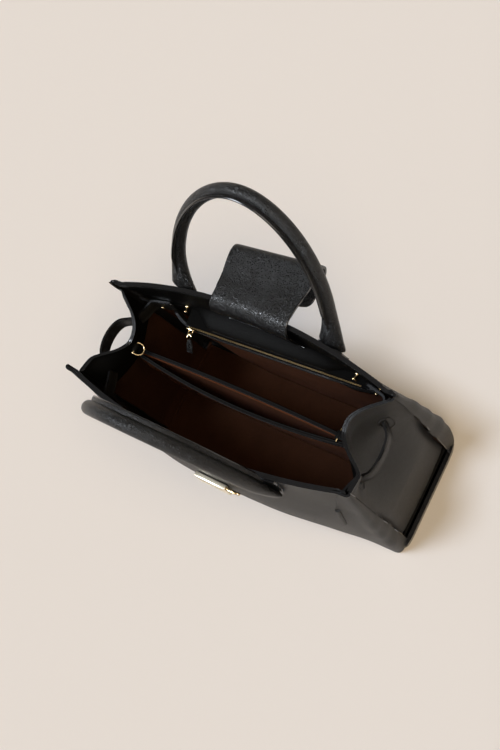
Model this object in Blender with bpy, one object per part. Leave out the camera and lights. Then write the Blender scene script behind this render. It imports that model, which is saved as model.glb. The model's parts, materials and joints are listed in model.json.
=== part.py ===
"""A structured leather top-handle tote bag, standing open.

Metres, +Z up. X runs across the width, -Y is the front and +Y the rear.
The origin is on the floor at the middle of the base.
"""

import math

import bmesh
import bpy
from mathutils import Matrix, Vector

FRONT, REAR = -1, 1
LEFT, RIGHT = -1, 1
SIDE_NAME = {LEFT: "left", RIGHT: "right"}
FACE_NAME = {FRONT: "front", REAR: "rear"}

# Body
BASE_HALF_WIDTH = 0.166
TOP_HALF_WIDTH = 0.168
BASE_HALF_DEPTH = 0.070
TOP_HALF_DEPTH = 0.074
CORNER_HALF_DEPTH = 0.0485
TOP_CURVE_POWER = 2.2
MIDDLE_HEIGHT = 0.245
CORNER_HEIGHT = 0.236
BELLY = {FRONT: 0.0165, REAR: 0.004}
CORNER_ROLL_WIDTH = 0.012
CORNER_ROLL_DEPTH_LOW = 0.018
CORNER_ROLL_DEPTH_HIGH = 0.005
CORNER_SQUARENESS = 0.5
PANEL_STEPS = 24
CORNER_STEPS = 4
FLAT_SHARE = 1 - 2 * CORNER_STEPS / PANEL_STEPS
INNER_STEPS = 20
INNER_REACH = INNER_STEPS / PANEL_STEPS
PANEL_ROWS = 12
FACING_ROWS = 3
LINING_ROWS = PANEL_ROWS - FACING_ROWS
FACING_START = LINING_ROWS / PANEL_ROWS

# Leather, lining and clearance
LEATHER = 0.0022
FACING = 0.0018
LINING = 0.0010
GAP = 0.0003
MERGE_DISTANCE = 1e-6

# Gussets
GUSSET_SEAT = 0.0006
GUSSET_TUCK_SHARE = 0.1
GUSSET_INNER_REACH = 0.97
PINCH_DEPTH = 0.031
PINCH_POWER = 1.6
PINCH_FROM = 0.40
PINCH_TO = 0.87
PINCH_GROWTH = 1.3
GUSSET_DROP = {LEFT: 0.018, RIGHT: 0.006}
GUSSET_DIP = 0.008
GUSSET_FACING_START = 0.160

# Base
TRAY_HEIGHT = 0.009
TRAY_FLOOR = 0.002
TRAY_RIM = 0.0048
TRAY_CLEARANCE = 0.0008
BOARD_THICKNESS = 0.0035
BOARD_PLAY = 0.0010

# Divider pocket in the middle
DIVIDER_TOP = 0.186
DIVIDER_BOTTOM = 0.016
DIVIDER_REAR_BOW = 0.003
DIVIDER_FRONT_BOW = 0.0118
DIVIDER_WALL = 0.0018
DIVIDER_BAND_HEIGHT = 0.012
DIVIDER_BAND_WALL = 0.0028

# Zipped pocket on the rear wall
POCKET_HALF_LENGTH = 0.124
POCKET_FRONT = 0.0510
POCKET_SLANT = math.radians(2.862)
POCKET_FOOT_DEPTH = 0.058
POCKET_BOTTOM = 0.014
POCKET_WALL = 0.0012
POCKET_END_POWER = 8
ZIP_HEIGHT = 0.1755
BINDING_BELOW_ZIP = 0.004
BINDING_TOP = ZIP_HEIGHT - BINDING_BELOW_ZIP
BINDING_HEIGHT = 0.011
BINDING_WALL = 0.003
ZIP_LEFT = -0.096
ZIP_RIGHT = 0.110
TEETH_WIDTH = 0.0030
TEETH_DEPTH = 0.0022
TAPE = 0.0008
TAPE_RISE = 0.0045

# Zip slider and pull
SLIDER_LENGTH = 0.010
SLIDER_HEIGHT = 0.008
SLIDER_WALL = 0.0020
BAIL_WIDTH = 0.0060
BAIL_REACH = 0.0052
BAIL_WIRE = 0.0007
LINK_RADIUS = 0.0034
LINK_WIRE = 0.0007
LINK_STEPS = 14
PULL_TAB_LENGTH = 0.016
PULL_TAB_WIDTH = 0.007
PULL_TAB_WALL = 0.0022
PULL_TAB_NECK_SHARE = 0.7
PULL_LEAN = math.radians(42)

# Handles
HANDLE_HALF_SPAN = 0.087
HANDLE_SHOULDER = 0.0436
HANDLE_SWELL = 0.0042
HANDLE_HEIGHT = 0.146
HANDLE_RADIUS = 0.0069
HANDLE_RIDGE = 0.0050
HANDLE_RIDGE_ANGLE = math.radians(90)
HANDLE_RIDGE_SPREAD = math.radians(20)
HANDLE_FOOT_HALF_WIDTH = 0.015
HANDLE_FOOT_THICKNESS = 0.012
HANDLE_FLARE_LENGTH = 0.045
HANDLE_FLARE_POWER = 1.6
HANDLE_RIDGE_FADE = 1.5
HANDLE_SWELL_HEIGHT_SHARE = 0.6
HANDLE_DOME_ANGLE = math.radians(80)
HANDLE_DOME_DROP = 0.0046
HANDLE_DOME_NARROWING = 0.35
HANDLE_DOME_STEPS = 3
HANDLE_BODY_STEPS = 24
HANDLE_START = {FRONT: 0.2130, REAR: 0.2385}
HANDLE_CLEARANCE = 0.0012
HANDLE_LEAN = {FRONT: math.radians(1.8), REAR: math.radians(27.1)}
HANDLE_SWAY = {FRONT: math.radians(-2.4), REAR: math.radians(2.03)}
TAB_HALF_WIDTH = 0.018
TAB_LENGTH = {FRONT: 0.0306, REAR: 0.0226}
TAB_THICKNESS = 0.0085
TAB_CLEARANCE = 0.0008
TAB_EDGE_FALL = 0.85
TAB_FOOT_SHARE = 0.55

# Closure flap
FLAP_HALF_WIDTH = 0.046
FLAP_WALL = 0.0026
FLAP_SLIT_HEIGHT = 0.196
FLAP_REACH = 0.055
FLAP_CURL_RADIUS = 0.0062
FLAP_TIP_LENGTH = 0.034
FLAP_TIP_CORNER = 0.010
FLAP_FLAT_ROWS = 9
FLAP_CURL_ROWS = 6
FLAP_EDGE_ROWS = 3
FLAP_TIP_ROWS = 9
CATCH_HALF_WIDTH = 0.019
CATCH_HEIGHT = 0.012
CATCH_WALL = 0.0012
CATCH_SLOT_HALF_WIDTH = 0.014
CATCH_SLOT_HEIGHT = 0.004

# Front lock
LOCK_CENTRE_X = -0.003
LOCK_LENGTH = 0.0386
LOCK_HEIGHT = 0.022
LOCK_THICKNESS = 0.0050
LOCK_CENTRE_Z = 0.145
BOLT_RADIUS = 0.0014
BOLT_CLEARANCE = 0.0003
BOLT_INSIDE = 0.016
BOLT_OUTSIDE = 0.0150
BOLT_DROP = 0.0028
KNOB_RADIUS = 0.0019
KNOB_STEPS = 5
WASHER_LENGTH = 0.028
WASHER_HEIGHT = 0.014
WASHER_WALL = 0.001

# Side straps and their studs
STRAP_WALL = 0.0022
STRAP_WIDTH = 0.015
STRAP_TOP = 0.191
STRAP_END_X = 0.117
STRAP_TURN_X = 0.138
STRAP_PLAY = 0.0008
STRAP_SLOT_SHARE = 0.62
STRAP_LEAD_IN = (0.35, 0.15)
STRAP_LEAD_OUT = (0.78, 0.62)
STRAP_STAND = {LEFT: 0.006, RIGHT: -0.005}
SLOT_CLEARANCE = 0.0005
STUD_X = {"fastened": 0.131, "spare": 0.103}
STUD_BASE_RADIUS = 0.003
STUD_BASE_HEIGHT = 0.0012
STUD_POST_RADIUS = 0.0013
STUD_HEAD_RADIUS = 0.0026
STUD_HEAD_STEPS = 5
STUD_HEAD_FLATNESS = 0.53
STUD_HEIGHT = 0.0072
STUD_HOLE_CLEARANCE = 0.0004

# Rings for a shoulder strap
RING_WIRE = 0.0011
RING_HALF_WIDTH = 0.0062
RING_STRAIGHT_SHARE = 0.6
RING_STEPS = 10
RING_HEIGHT = {LEFT: 0.198, RIGHT: 0.206}
RING_LOOP_WALL = 0.0014
RING_LOOP_HALF_WIDTH = 0.0040
RING_LOOP_TAIL = 0.012
RING_STAND = {LEFT: 0.0, RIGHT: 0.006}
RING_ANGLE = {LEFT: math.radians(27), RIGHT: math.radians(80)}

BLACK_LEATHER = ((0.012, 0.011, 0.010), 0.42, 0.0)
BROWN_SUEDE = ((0.085, 0.032, 0.018), 0.90, 0.0)
GREY_BOARD = ((0.180, 0.170, 0.150), 0.95, 0.0)
BLACK_TAPE = ((0.014, 0.013, 0.012), 0.85, 0.0)
GOLD = ((0.830, 0.600, 0.270), 0.22, 1.0)


def clear_scene():
    for item in list(bpy.data.objects):
        bpy.data.objects.remove(item, do_unlink=True)


def material(name, look):
    colour, roughness, metallic = look
    made = bpy.data.materials.new(name)
    made.use_nodes = True
    shader = made.node_tree.nodes["Principled BSDF"]
    shader.inputs["Base Color"].default_value = (*colour, 1.0)
    shader.inputs["Roughness"].default_value = roughness
    shader.inputs["Metallic"].default_value = metallic
    return made


def to_object(name, mesh_builder, look):
    """Turn a finished bmesh into an object with its own material."""
    bmesh.ops.recalc_face_normals(mesh_builder, faces=mesh_builder.faces[:])
    mesh = bpy.data.meshes.new(name)
    mesh_builder.to_mesh(mesh)
    mesh_builder.free()
    mesh.shade_smooth()
    mesh.set_sharp_from_angle(angle=math.radians(40))
    mesh.materials.append(material(name, look))
    made = bpy.data.objects.new(name, mesh)
    bpy.context.scene.collection.objects.link(made)
    return made


def set_origin(item, origin):
    """Move an object's origin to a joint's axis and leave its shape where it is."""
    origin = Vector(origin)
    item.data.transform(Matrix.Translation(-origin))
    item.location = origin
    return item


def sheet(name, across, along, outer, inner, look):
    """A leather or cloth sheet: a grid with two skins, each placed by a function of u and v.

    u runs from -1 to 1 and v from 0 to 1. All sheets are split along the same diagonals, so that
    two of them lie evenly against each other.
    """
    bm = bmesh.new()
    bmesh.ops.create_grid(bm, x_segments=across, y_segments=along, size=1.0)
    bmesh.ops.triangulate(bm, faces=bm.faces[:], quad_method="FIXED")
    back = bmesh.ops.extrude_face_region(bm, geom=bm.faces[:])["geom"]
    back = {part for part in back if isinstance(part, bmesh.types.BMVert)}
    for vert in bm.verts:
        skin = inner if vert in back else outer
        vert.co = skin(vert.co.x, (vert.co.y + 1) / 2)
    bmesh.ops.remove_doubles(bm, verts=bm.verts[:], dist=MERGE_DISTANCE)
    return to_object(name, bm, look)


def loft(name, around, along, point, look):
    """A closed skin round a path: point(turn, way) with both from 0 to 1, and flat ends."""
    bm = bmesh.new()
    bmesh.ops.create_grid(bm, x_segments=around, y_segments=along, size=1.0)
    for vert in bm.verts:
        turn = (vert.co.x + 1) / 2
        vert.co = point(turn if turn < 1 - MERGE_DISTANCE else 0.0, (vert.co.y + 1) / 2)
    bmesh.ops.remove_doubles(bm, verts=bm.verts[:], dist=MERGE_DISTANCE)
    open_edges = [edge for edge in bm.edges if edge.is_boundary]
    bmesh.ops.holes_fill(bm, edges=open_edges, sides=0)
    return to_object(name, bm, look)


def box(name, low, high, look, bevel=0.0):
    """A block between two corners, with an optional small round on its edges."""
    low, high = Vector(low), Vector(high)
    bm = bmesh.new()
    bmesh.ops.create_cube(bm, size=1.0)
    bmesh.ops.scale(bm, vec=high - low, verts=bm.verts[:])
    bmesh.ops.translate(bm, vec=(low + high) / 2, verts=bm.verts[:])
    if bevel:
        bmesh.ops.bevel(bm, geom=bm.edges[:], offset=bevel, segments=2, profile=0.5, affect="EDGES")
    return to_object(name, bm, look)


def cylinder(name, start, end, radius, look, sides=16):
    start, end = Vector(start), Vector(end)
    turn = (end - start).to_track_quat("Z", "Y").to_matrix().to_4x4()
    bm = bmesh.new()
    bmesh.ops.create_cone(
        bm,
        cap_ends=True,
        segments=sides,
        radius1=radius,
        radius2=radius,
        depth=(end - start).length,
        matrix=Matrix.Translation((start + end) / 2) @ turn,
    )
    return to_object(name, bm, look)


def turned(name, profile, place, look, sides=16):
    """A turned piece: a profile of (radius, height) spun about the local Z axis."""
    bm = bmesh.new()
    points = [bm.verts.new((radius, 0.0, height)) for radius, height in profile]
    edges = [bm.edges.new(pair) for pair in zip(points, points[1:])]
    bmesh.ops.spin(
        bm,
        geom=points + edges,
        cent=(0, 0, 0),
        axis=(0, 0, 1),
        angle=math.tau,
        steps=sides,
        use_merge=True,
    )
    bmesh.ops.remove_doubles(bm, verts=bm.verts[:], dist=MERGE_DISTANCE)
    bmesh.ops.transform(bm, matrix=place, verts=bm.verts[:])
    return to_object(name, bm, look)


def wire_ring(name, points, radius, look):
    """A closed ring of round wire through the given points."""
    curve = bpy.data.curves.new(name, "CURVE")
    curve.dimensions = "3D"
    curve.bevel_depth = radius
    curve.bevel_resolution = 1
    spline = curve.splines.new("POLY")
    spline.points.add(len(points) - 1)
    for slot, point in zip(spline.points, points):
        slot.co = (*point, 1.0)
    spline.use_cyclic_u = True
    curve.materials.append(material(name, look))
    made = bpy.data.objects.new(name, curve)
    bpy.context.scene.collection.objects.link(made)
    return made


def cut(target, cutter, operation="DIFFERENCE"):
    """Apply a helper object to a piece and keep the helper out of the model."""
    change = target.modifiers.new(cutter.name, "BOOLEAN")
    change.operation = operation
    change.object = cutter
    cutter.hide_render = True
    cutter.display_type = "WIRE"


def ease(share):
    share = min(max(share, 0.0), 1.0)
    return share * share * (3 - 2 * share)


def mix(start, end, share):
    return start + (end - start) * share


def round_off(angle):
    """A point of a squarish rounded corner of unit size, from (0, 1) at 0 to (1, 0) at a right angle."""
    across = abs(math.sin(angle)) ** CORNER_SQUARENESS
    along = abs(math.cos(angle)) ** CORNER_SQUARENESS
    return (across, along) if angle < math.pi / 2 - MERGE_DISTANCE else (1.0, 0.0)


def half_width(t):
    return mix(BASE_HALF_WIDTH, TOP_HALF_WIDTH, t)


def rim_height(a):
    return MIDDLE_HEIGHT - (MIDDLE_HEIGHT - CORNER_HEIGHT) * a**2


def face_depth(face, a, t):
    """Half-depth of the outer skin at the share a of the half-width and t of the height."""
    top = TOP_HALF_DEPTH - (TOP_HALF_DEPTH - CORNER_HALF_DEPTH) * a**TOP_CURVE_POWER
    swell = math.sin(math.pi * min(max(t, 0.0), 1.0))
    if t > 0.5:
        swell *= swell
    return mix(BASE_HALF_DEPTH, top, t) + BELLY[face] * swell * (1 - a**3)


def roll_depth(t):
    return mix(CORNER_ROLL_DEPTH_LOW, CORNER_ROLL_DEPTH_HIGH, t)


def seam_depth(t):
    """Half-depth of the seam where a panel's rolled corner ends and the gusset begins."""
    a = 1 - CORNER_ROLL_WIDTH / half_width(t)
    return min(face_depth(FRONT, a, t), face_depth(REAR, a, t)) - roll_depth(t)


def gusset_depth(t):
    """Half-depth of a gusset, which is tucked a little way behind the rolled corners."""
    return seam_depth(t) + GUSSET_TUCK_SHARE * roll_depth(t)


def panel_point(face, u, t, inset):
    """A point of a front or rear panel, inset from its outer skin.

    u runs across the face and round the rolled corner to the gusset seam.
    """
    half = half_width(t)
    a_edge = 1 - CORNER_ROLL_WIDTH / half
    if abs(u) <= FLAT_SHARE:
        a = abs(u) / FLAT_SHARE * a_edge
        x = a * half
        y = face_depth(face, a, t) - inset
    else:
        a = a_edge
        angle = (abs(u) - FLAT_SHARE) / (1 - FLAT_SHARE) * math.pi / 2
        depth = face_depth(face, a, t) - seam_depth(t)
        across, along = round_off(angle)
        x = half - CORNER_ROLL_WIDTH + (CORNER_ROLL_WIDTH - inset) * across
        y = seam_depth(t) + (depth - inset) * along
    return Vector((math.copysign(x, u), face * y, t * rim_height(a)))


def wall_depth(face, x, z, inset):
    """Half-depth of a panel at a place x, z on its face, inset from its outer skin."""
    t = z / MIDDLE_HEIGHT
    for _ in range(4):
        a = min(abs(x) / half_width(t), 1.0)
        t = z / rim_height(a)
    return face_depth(face, a, t) - inset


def wall_frame(face, x, z, inset):
    """A matrix seated on a panel: its local Z points out of the bag, its X along the width."""
    step = 0.002
    here = Vector((x, face * wall_depth(face, x, z, inset), z))
    along = Vector((x + step, face * wall_depth(face, x + step, z, inset), z)) - here
    up = Vector((x, face * wall_depth(face, x, z + step, inset), z + step)) - here
    out = along.cross(up).normalized()
    if out.y * face < 0:
        out = -out
    along = (along - out * along.dot(out)).normalized()
    turn = Matrix((along, out.cross(along), out)).transposed().to_4x4()
    return Matrix.Translation(here) @ turn


def gusset_top(side, w):
    return CORNER_HEIGHT - GUSSET_DROP[side] - GUSSET_DIP * (1 - abs(w))


def gusset_point(side, w, z, inset):
    """A point of a gusset at the share w of its depth, inset from its outer skin."""
    t = z / CORNER_HEIGHT
    rise = min(max((t - PINCH_FROM) / (PINCH_TO - PINCH_FROM), 0.0), 1.0)
    pinch = PINCH_DEPTH * rise**PINCH_GROWTH
    x = half_width(t) - LEATHER - GUSSET_SEAT - inset
    x -= pinch * (1 - abs(w) ** PINCH_POWER)
    return Vector((side * x, w * gusset_depth(t), z))


def side_facing(side, z, off):
    """The place on the inner skin of a gusset's facing at its fold, and off from it."""
    return gusset_point(side, 0.0, z, LEATHER + GAP + FACING + off)


def panel_sheet(name, face, across, rows, reach, shares, inset, wall, look):
    """A layer of a front or rear wall; shares gives the share of the height for each v."""
    return sheet(
        name,
        across,
        rows,
        lambda u, v: panel_point(face, u * reach, shares(v), inset),
        lambda u, v: panel_point(face, u * reach, shares(v), inset + wall),
        look,
    )


def gusset_sheet(name, side, across, along, reach, low, high, inset, wall, look):
    """A layer of a gusset from the height low up to high, or up to its own top edge."""

    def point(u, v, depth):
        w = u * reach
        top = gusset_top(side, w) if high is None else high
        return gusset_point(side, w, mix(low, top, v), depth)

    return sheet(
        name,
        across,
        along,
        lambda u, v: point(u, v, inset),
        lambda u, v: point(u, v, inset + wall),
        look,
    )


def build_base():
    """A turned leather tray with a stiffening board and a suede floor inside it."""
    edge = LEATHER + TRAY_CLEARANCE

    def outline(inset):
        wide = BASE_HALF_WIDTH - CORNER_ROLL_WIDTH
        deep = BASE_HALF_DEPTH - CORNER_ROLL_DEPTH_LOW
        points = []
        for quarter, (sx, sy) in enumerate(((1, 1), (-1, 1), (-1, -1), (1, -1))):
            steps = range(CORNER_STEPS + 1)
            for step in steps if quarter % 2 else reversed(steps):
                across, along = round_off(step / CORNER_STEPS * math.pi / 2)
                x = sx * (wide + (CORNER_ROLL_WIDTH - inset) * across)
                y = sy * (deep + (CORNER_ROLL_DEPTH_LOW - inset) * along)
                points.append((x, y))
        return points

    def slab(name, inset, low, high, look, hollow=0.0):
        bm = bmesh.new()
        floor = bm.faces.new([bm.verts.new((x, y, low)) for x, y in outline(inset)])
        lid = bmesh.ops.extrude_face_region(bm, geom=[floor])["geom"]
        lid_verts = [part for part in lid if isinstance(part, bmesh.types.BMVert)]
        bmesh.ops.translate(bm, vec=(0, 0, high - low), verts=lid_verts)
        if hollow:
            lid_face = [part for part in lid if isinstance(part, bmesh.types.BMFace)]
            bmesh.ops.inset_region(bm, faces=lid_face, thickness=TRAY_RIM, use_even_offset=True)
            well = bmesh.ops.extrude_face_region(bm, geom=lid_face)["geom"]
            well_verts = [part for part in well if isinstance(part, bmesh.types.BMVert)]
            bmesh.ops.translate(bm, vec=(0, 0, -hollow), verts=well_verts)
            bmesh.ops.delete(bm, geom=lid_face, context="FACES_ONLY")
        return to_object(name, bm, look)

    slab("base_panel", edge, 0.0, TRAY_HEIGHT, BLACK_LEATHER, TRAY_HEIGHT - TRAY_FLOOR)
    inside = edge + TRAY_RIM + BOARD_PLAY
    board_top = TRAY_FLOOR + GAP + BOARD_THICKNESS
    slab("base_board", inside, TRAY_FLOOR + GAP, board_top, GREY_BOARD)
    slab("base_lining", inside, board_top + GAP, board_top + GAP + LINING, BROWN_SUEDE)


def build_walls():
    """Front and rear panels, each with a suede lining and a leather facing at the top."""
    layer = LEATHER + GAP
    gap = GAP / CORNER_HEIGHT
    foot = TRAY_HEIGHT / CORNER_HEIGHT + gap

    def whole(v):
        return v

    def below(v):
        return min(max(v * FACING_START, foot), FACING_START - gap)

    def above(v):
        return mix(FACING_START, 1.0, v)

    for face in (FRONT, REAR):
        name = FACE_NAME[face]
        steps, reach = INNER_STEPS, INNER_REACH
        panel_sheet(f"{name}_panel", face, PANEL_STEPS, PANEL_ROWS, 1.0, whole, 0.0, LEATHER, BLACK_LEATHER)
        behind = layer + GAP
        panel_sheet(f"{name}_lining", face, steps, LINING_ROWS, reach, below, behind, LINING, BROWN_SUEDE)
        panel_sheet(f"{name}_facing", face, steps, FACING_ROWS, reach, above, layer, FACING, BLACK_LEATHER)


def build_gussets():
    """Each side has a gusset that folds inward, a suede lining and a leather facing."""
    layer = LEATHER + GAP
    foot = TRAY_HEIGHT + GAP
    middle = GUSSET_FACING_START
    reach = GUSSET_INNER_REACH
    made = {}
    for side in (LEFT, RIGHT):
        name = f"{SIDE_NAME[side]}_gusset"
        outside = gusset_sheet(name, side, 10, 20, 1.0, foot, None, 0.0, LEATHER, BLACK_LEATHER)
        facing = gusset_sheet(
            f"{name}_facing", side, 10, 6, reach, middle, None, layer, FACING, BLACK_LEATHER
        )
        gusset_sheet(f"{name}_lining", side, 10, 13, reach, foot, middle - GAP, layer, LINING, BROWN_SUEDE)
        made[side] = (outside, facing)
    return made


def build_divider():
    """A flat open pocket hung between the gussets, with a leather band on each lip."""
    bows = {"rear": (1, DIVIDER_REAR_BOW), "front": (-1, DIVIDER_FRONT_BOW)}
    panel_top = DIVIDER_TOP - DIVIDER_BAND_HEIGHT

    def point(u, z, sign, bow, off):
        open_share = ease((z - DIVIDER_BOTTOM) / (DIVIDER_TOP - DIVIDER_BOTTOM))
        y = sign * (GAP / 2 + off + bow * (1 - u * u) * open_share)
        return Vector((u * side_facing(RIGHT, z, GAP).x, y, z))

    def skin(low, high, sign, bow, off):
        return lambda u, v: point(u, mix(low, high, v), sign, bow, off)

    for name, (sign, bow) in bows.items():
        foot, head = DIVIDER_BOTTOM, panel_top - GAP
        sheet(
            f"divider_{name}_panel",
            12,
            9,
            skin(foot, head, sign, bow, DIVIDER_WALL),
            skin(foot, head, sign, bow, 0.0),
            BROWN_SUEDE,
        )
        sheet(
            f"divider_{name}_band",
            12,
            2,
            skin(panel_top, DIVIDER_TOP, sign, bow, DIVIDER_BAND_WALL),
            skin(panel_top, DIVIDER_TOP, sign, bow, 0.0),
            BLACK_LEATHER,
        )


def pocket_depth(x, z, off):
    """Depth of the pocket's front, which turns back to the rear wall at both ends."""
    foot = (BINDING_TOP - z) / (BINDING_TOP - POCKET_BOTTOM)
    front = mix(POCKET_FRONT + math.tan(POCKET_SLANT) * x, POCKET_FOOT_DEPTH, foot)
    layers = LEATHER + 2 * GAP + LINING + GAP
    wall = wall_depth(REAR, x, z, layers)
    end = min(abs(x) / POCKET_HALF_LENGTH, 1.0) ** POCKET_END_POWER
    return mix(front, max(wall, front), end) - off


def build_pocket():
    """The zipped pocket: a suede front, a leather-bound lip, two tapes and a row of teeth."""

    def skin(low, high, off):
        def point(u, v):
            x, z = u * POCKET_HALF_LENGTH, mix(low, high, v)
            return Vector((x, pocket_depth(x, z, off), z))

        return point

    lip = BINDING_TOP - BINDING_HEIGHT
    sheet(
        "pocket_panel",
        20,
        4,
        skin(POCKET_BOTTOM, lip - GAP, 0.0),
        skin(POCKET_BOTTOM, lip - GAP, POCKET_WALL),
        BROWN_SUEDE,
    )
    sheet(
        "pocket_binding",
        20,
        2,
        skin(lip, BINDING_TOP, 0.0),
        skin(lip, BINDING_TOP, BINDING_WALL),
        BLACK_LEATHER,
    )
    teeth_low = ZIP_HEIGHT - TEETH_WIDTH / 2
    teeth = box(
        "zipper_teeth",
        (ZIP_LEFT, -TEETH_DEPTH, teeth_low),
        (ZIP_RIGHT, 0.0, teeth_low + TEETH_WIDTH),
        GOLD,
        0.0005,
    )
    lower_tape = box(
        "zipper_lower_tape",
        (ZIP_LEFT, -BINDING_WALL / 2 - TAPE, BINDING_TOP + GAP),
        (ZIP_RIGHT, -BINDING_WALL / 2, teeth_low - GAP),
        BLACK_TAPE,
    )
    place = zip_place()
    for item in (teeth, lower_tape):
        item.data.transform(place)

    def tape(u, v, lift):
        front = place @ Vector((mix(ZIP_LEFT, ZIP_RIGHT, (u + 1) / 2), GAP, ZIP_HEIGHT))
        back = wall_depth(REAR, front.x, ZIP_HEIGHT + TAPE_RISE, LEATHER + GAP + FACING + GAP)
        return Vector((front.x, mix(front.y, back, v), ZIP_HEIGHT + TAPE_RISE * v + lift))

    sheet(
        "zipper_upper_tape",
        12,
        2,
        lambda u, v: tape(u, v, TAPE / 2),
        lambda u, v: tape(u, v, -TAPE / 2),
        BLACK_TAPE,
    )


def zip_place():
    """The zip's own frame: its X runs along the teeth and its Y points to the rear wall."""
    return Matrix.Translation((0, POCKET_FRONT, 0)) @ Matrix.Rotation(POCKET_SLANT, 4, "Z")


def build_slider():
    """The zip's slider with its bail, and the pull: a wire link and a leather tab."""
    place = zip_place()
    x = ZIP_LEFT + SLIDER_LENGTH / 2
    back = -TEETH_DEPTH - GAP
    front = back - SLIDER_WALL
    body = box(
        "zipper_slider",
        (x - SLIDER_LENGTH / 2, front, ZIP_HEIGHT - SLIDER_HEIGHT / 2),
        (x + SLIDER_LENGTH / 2, back, ZIP_HEIGHT + SLIDER_HEIGHT / 2),
        GOLD,
        0.0006,
    )
    bar = Vector((x, front - BAIL_REACH + BAIL_WIRE, ZIP_HEIGHT))
    half = Vector((BAIL_WIDTH / 2, 0, 0))
    rail = cylinder("bail_rail", bar - half, bar + half, BAIL_WIRE, GOLD, 8)
    helpers = [rail]
    for end in (LEFT, RIGHT):
        root = bar + end * (half - Vector((BAIL_WIRE, 0, 0)))
        ear = cylinder(f"bail_ear_{end}", root, root + Vector((0, BAIL_REACH, 0)), BAIL_WIRE * 0.9, GOLD, 8)
        helpers.append(ear)
    for item in (body, *helpers):
        item.data.transform(place)
    for item in helpers:
        cut(body, item, "UNION")
    set_origin(body, place @ Vector((x, front, ZIP_HEIGHT)))

    hang = Vector((0, -math.sin(PULL_LEAN), -math.cos(PULL_LEAN)))
    centre = bar + hang * (LINK_RADIUS - LINK_WIRE - BAIL_WIRE - GAP)
    ring = []
    for step in range(LINK_STEPS):
        angle = step / LINK_STEPS * math.tau
        spoke = Vector((0, math.cos(angle), math.sin(angle)))
        ring.append(place @ (centre + spoke * LINK_RADIUS))
    set_origin(wire_ring("zipper_pull_link", ring, LINK_WIRE, GOLD), place @ bar)

    flat = Vector((0, math.cos(PULL_LEAN), -math.sin(PULL_LEAN)))
    start = centre + hang * (LINK_RADIUS + LINK_WIRE + GAP)

    def tab(u, v, off):
        wide = PULL_TAB_WIDTH / 2 * mix(PULL_TAB_NECK_SHARE, 1.0, ease(v * 2))
        return place @ (start + Vector((u * wide, 0, 0)) + hang * PULL_TAB_LENGTH * v + flat * off)

    pull = sheet(
        "zipper_pull_tab",
        2,
        4,
        lambda u, v: tab(u, v, PULL_TAB_WALL / 2),
        lambda u, v: tab(u, v, -PULL_TAB_WALL / 2),
        BLACK_LEATHER,
    )
    set_origin(pull, place @ bar)


def handle_pivot(face):
    """Where a handle's foot flexes: close to the panel's top edge, on its outer side."""
    z = HANDLE_START[face]
    y = wall_depth(face, HANDLE_HALF_SPAN, z, 0.0) + HANDLE_CLEARANCE + HANDLE_FOOT_THICKNESS / 2
    return Vector((0, face * y, z))


def handle_curve(share):
    """The handle's centre line in its own plane: across and up, for a share from 0 to 1."""
    half = share if share <= 0.5 else 1 - share
    s = half * 2
    corners = (
        (HANDLE_HALF_SPAN, 0.0),
        (HANDLE_HALF_SPAN + HANDLE_SWELL, HANDLE_HEIGHT * HANDLE_SWELL_HEIGHT_SHARE),
        (HANDLE_SHOULDER, HANDLE_HEIGHT),
        (0.0, HANDLE_HEIGHT),
    )
    weights = ((1 - s) ** 3, 3 * (1 - s) ** 2 * s, 3 * (1 - s) * s**2, s**3)
    across = sum(weight * corner[0] for weight, corner in zip(weights, corners))
    up = sum(weight * corner[1] for weight, corner in zip(weights, corners))
    return (-across if share <= 0.5 else across), up


def build_handle(face):
    """A rolled handle: a round roll with a stitched ridge on the bag's side and flared feet."""
    pivot = handle_pivot(face)
    lean = HANDLE_LEAN[face]
    up = Vector((0, face * math.sin(lean), math.cos(lean)))
    bag_side = Vector((0, -face * math.cos(lean), math.sin(lean)))
    across = Vector((1, 0, 0))
    foot_radius = HANDLE_FOOT_THICKNESS / 2
    dome_steps = HANDLE_DOME_STEPS
    total = HANDLE_BODY_STEPS + 2 * dome_steps

    def point(turn, way):
        step = way * total
        below = max(dome_steps - step, step - (total - dome_steps), 0.0)
        share = min(max((step - dome_steps) / HANDLE_BODY_STEPS, 0.0), 1.0)
        x, rise = handle_curve(share)
        before, after = handle_curve(max(share - 0.01, 0.0)), handle_curve(min(share + 0.01, 1.0))
        slope = Vector((after[0] - before[0], after[1] - before[1])).normalized()
        outward = Vector((-slope.y, slope.x))
        angle = turn * math.tau
        flare = max(1 - rise / HANDLE_FLARE_LENGTH, 0.0)
        wide = mix(HANDLE_RADIUS, HANDLE_FOOT_HALF_WIDTH, flare**HANDLE_FLARE_POWER)
        thick = mix(HANDLE_RADIUS, foot_radius, flare)
        ridge_gap = math.remainder(angle - HANDLE_RIDGE_ANGLE, math.tau) / HANDLE_RIDGE_SPREAD
        ridge = HANDLE_RIDGE * math.exp(-(ridge_gap**2)) * (1 - ease(flare * HANDLE_RIDGE_FADE))
        dome = below / dome_steps * HANDLE_DOME_ANGLE
        drop = math.sin(dome) * HANDLE_DOME_DROP
        squash = math.cos(dome)
        wide *= 1 - HANDLE_DOME_NARROWING * math.sin(dome)
        in_plane = (wide + ridge) * math.cos(angle)
        to_bag = (thick * squash + ridge) * math.sin(angle)
        place = pivot + across * (x + outward.x * in_plane) + up * (rise + outward.y * in_plane - drop)
        place += across * math.tan(HANDLE_SWAY[face]) * rise
        return place + bag_side * to_bag

    made = loft(f"{FACE_NAME[face]}_handle", 12, total, point, BLACK_LEATHER)
    set_origin(made, pivot)


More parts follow.
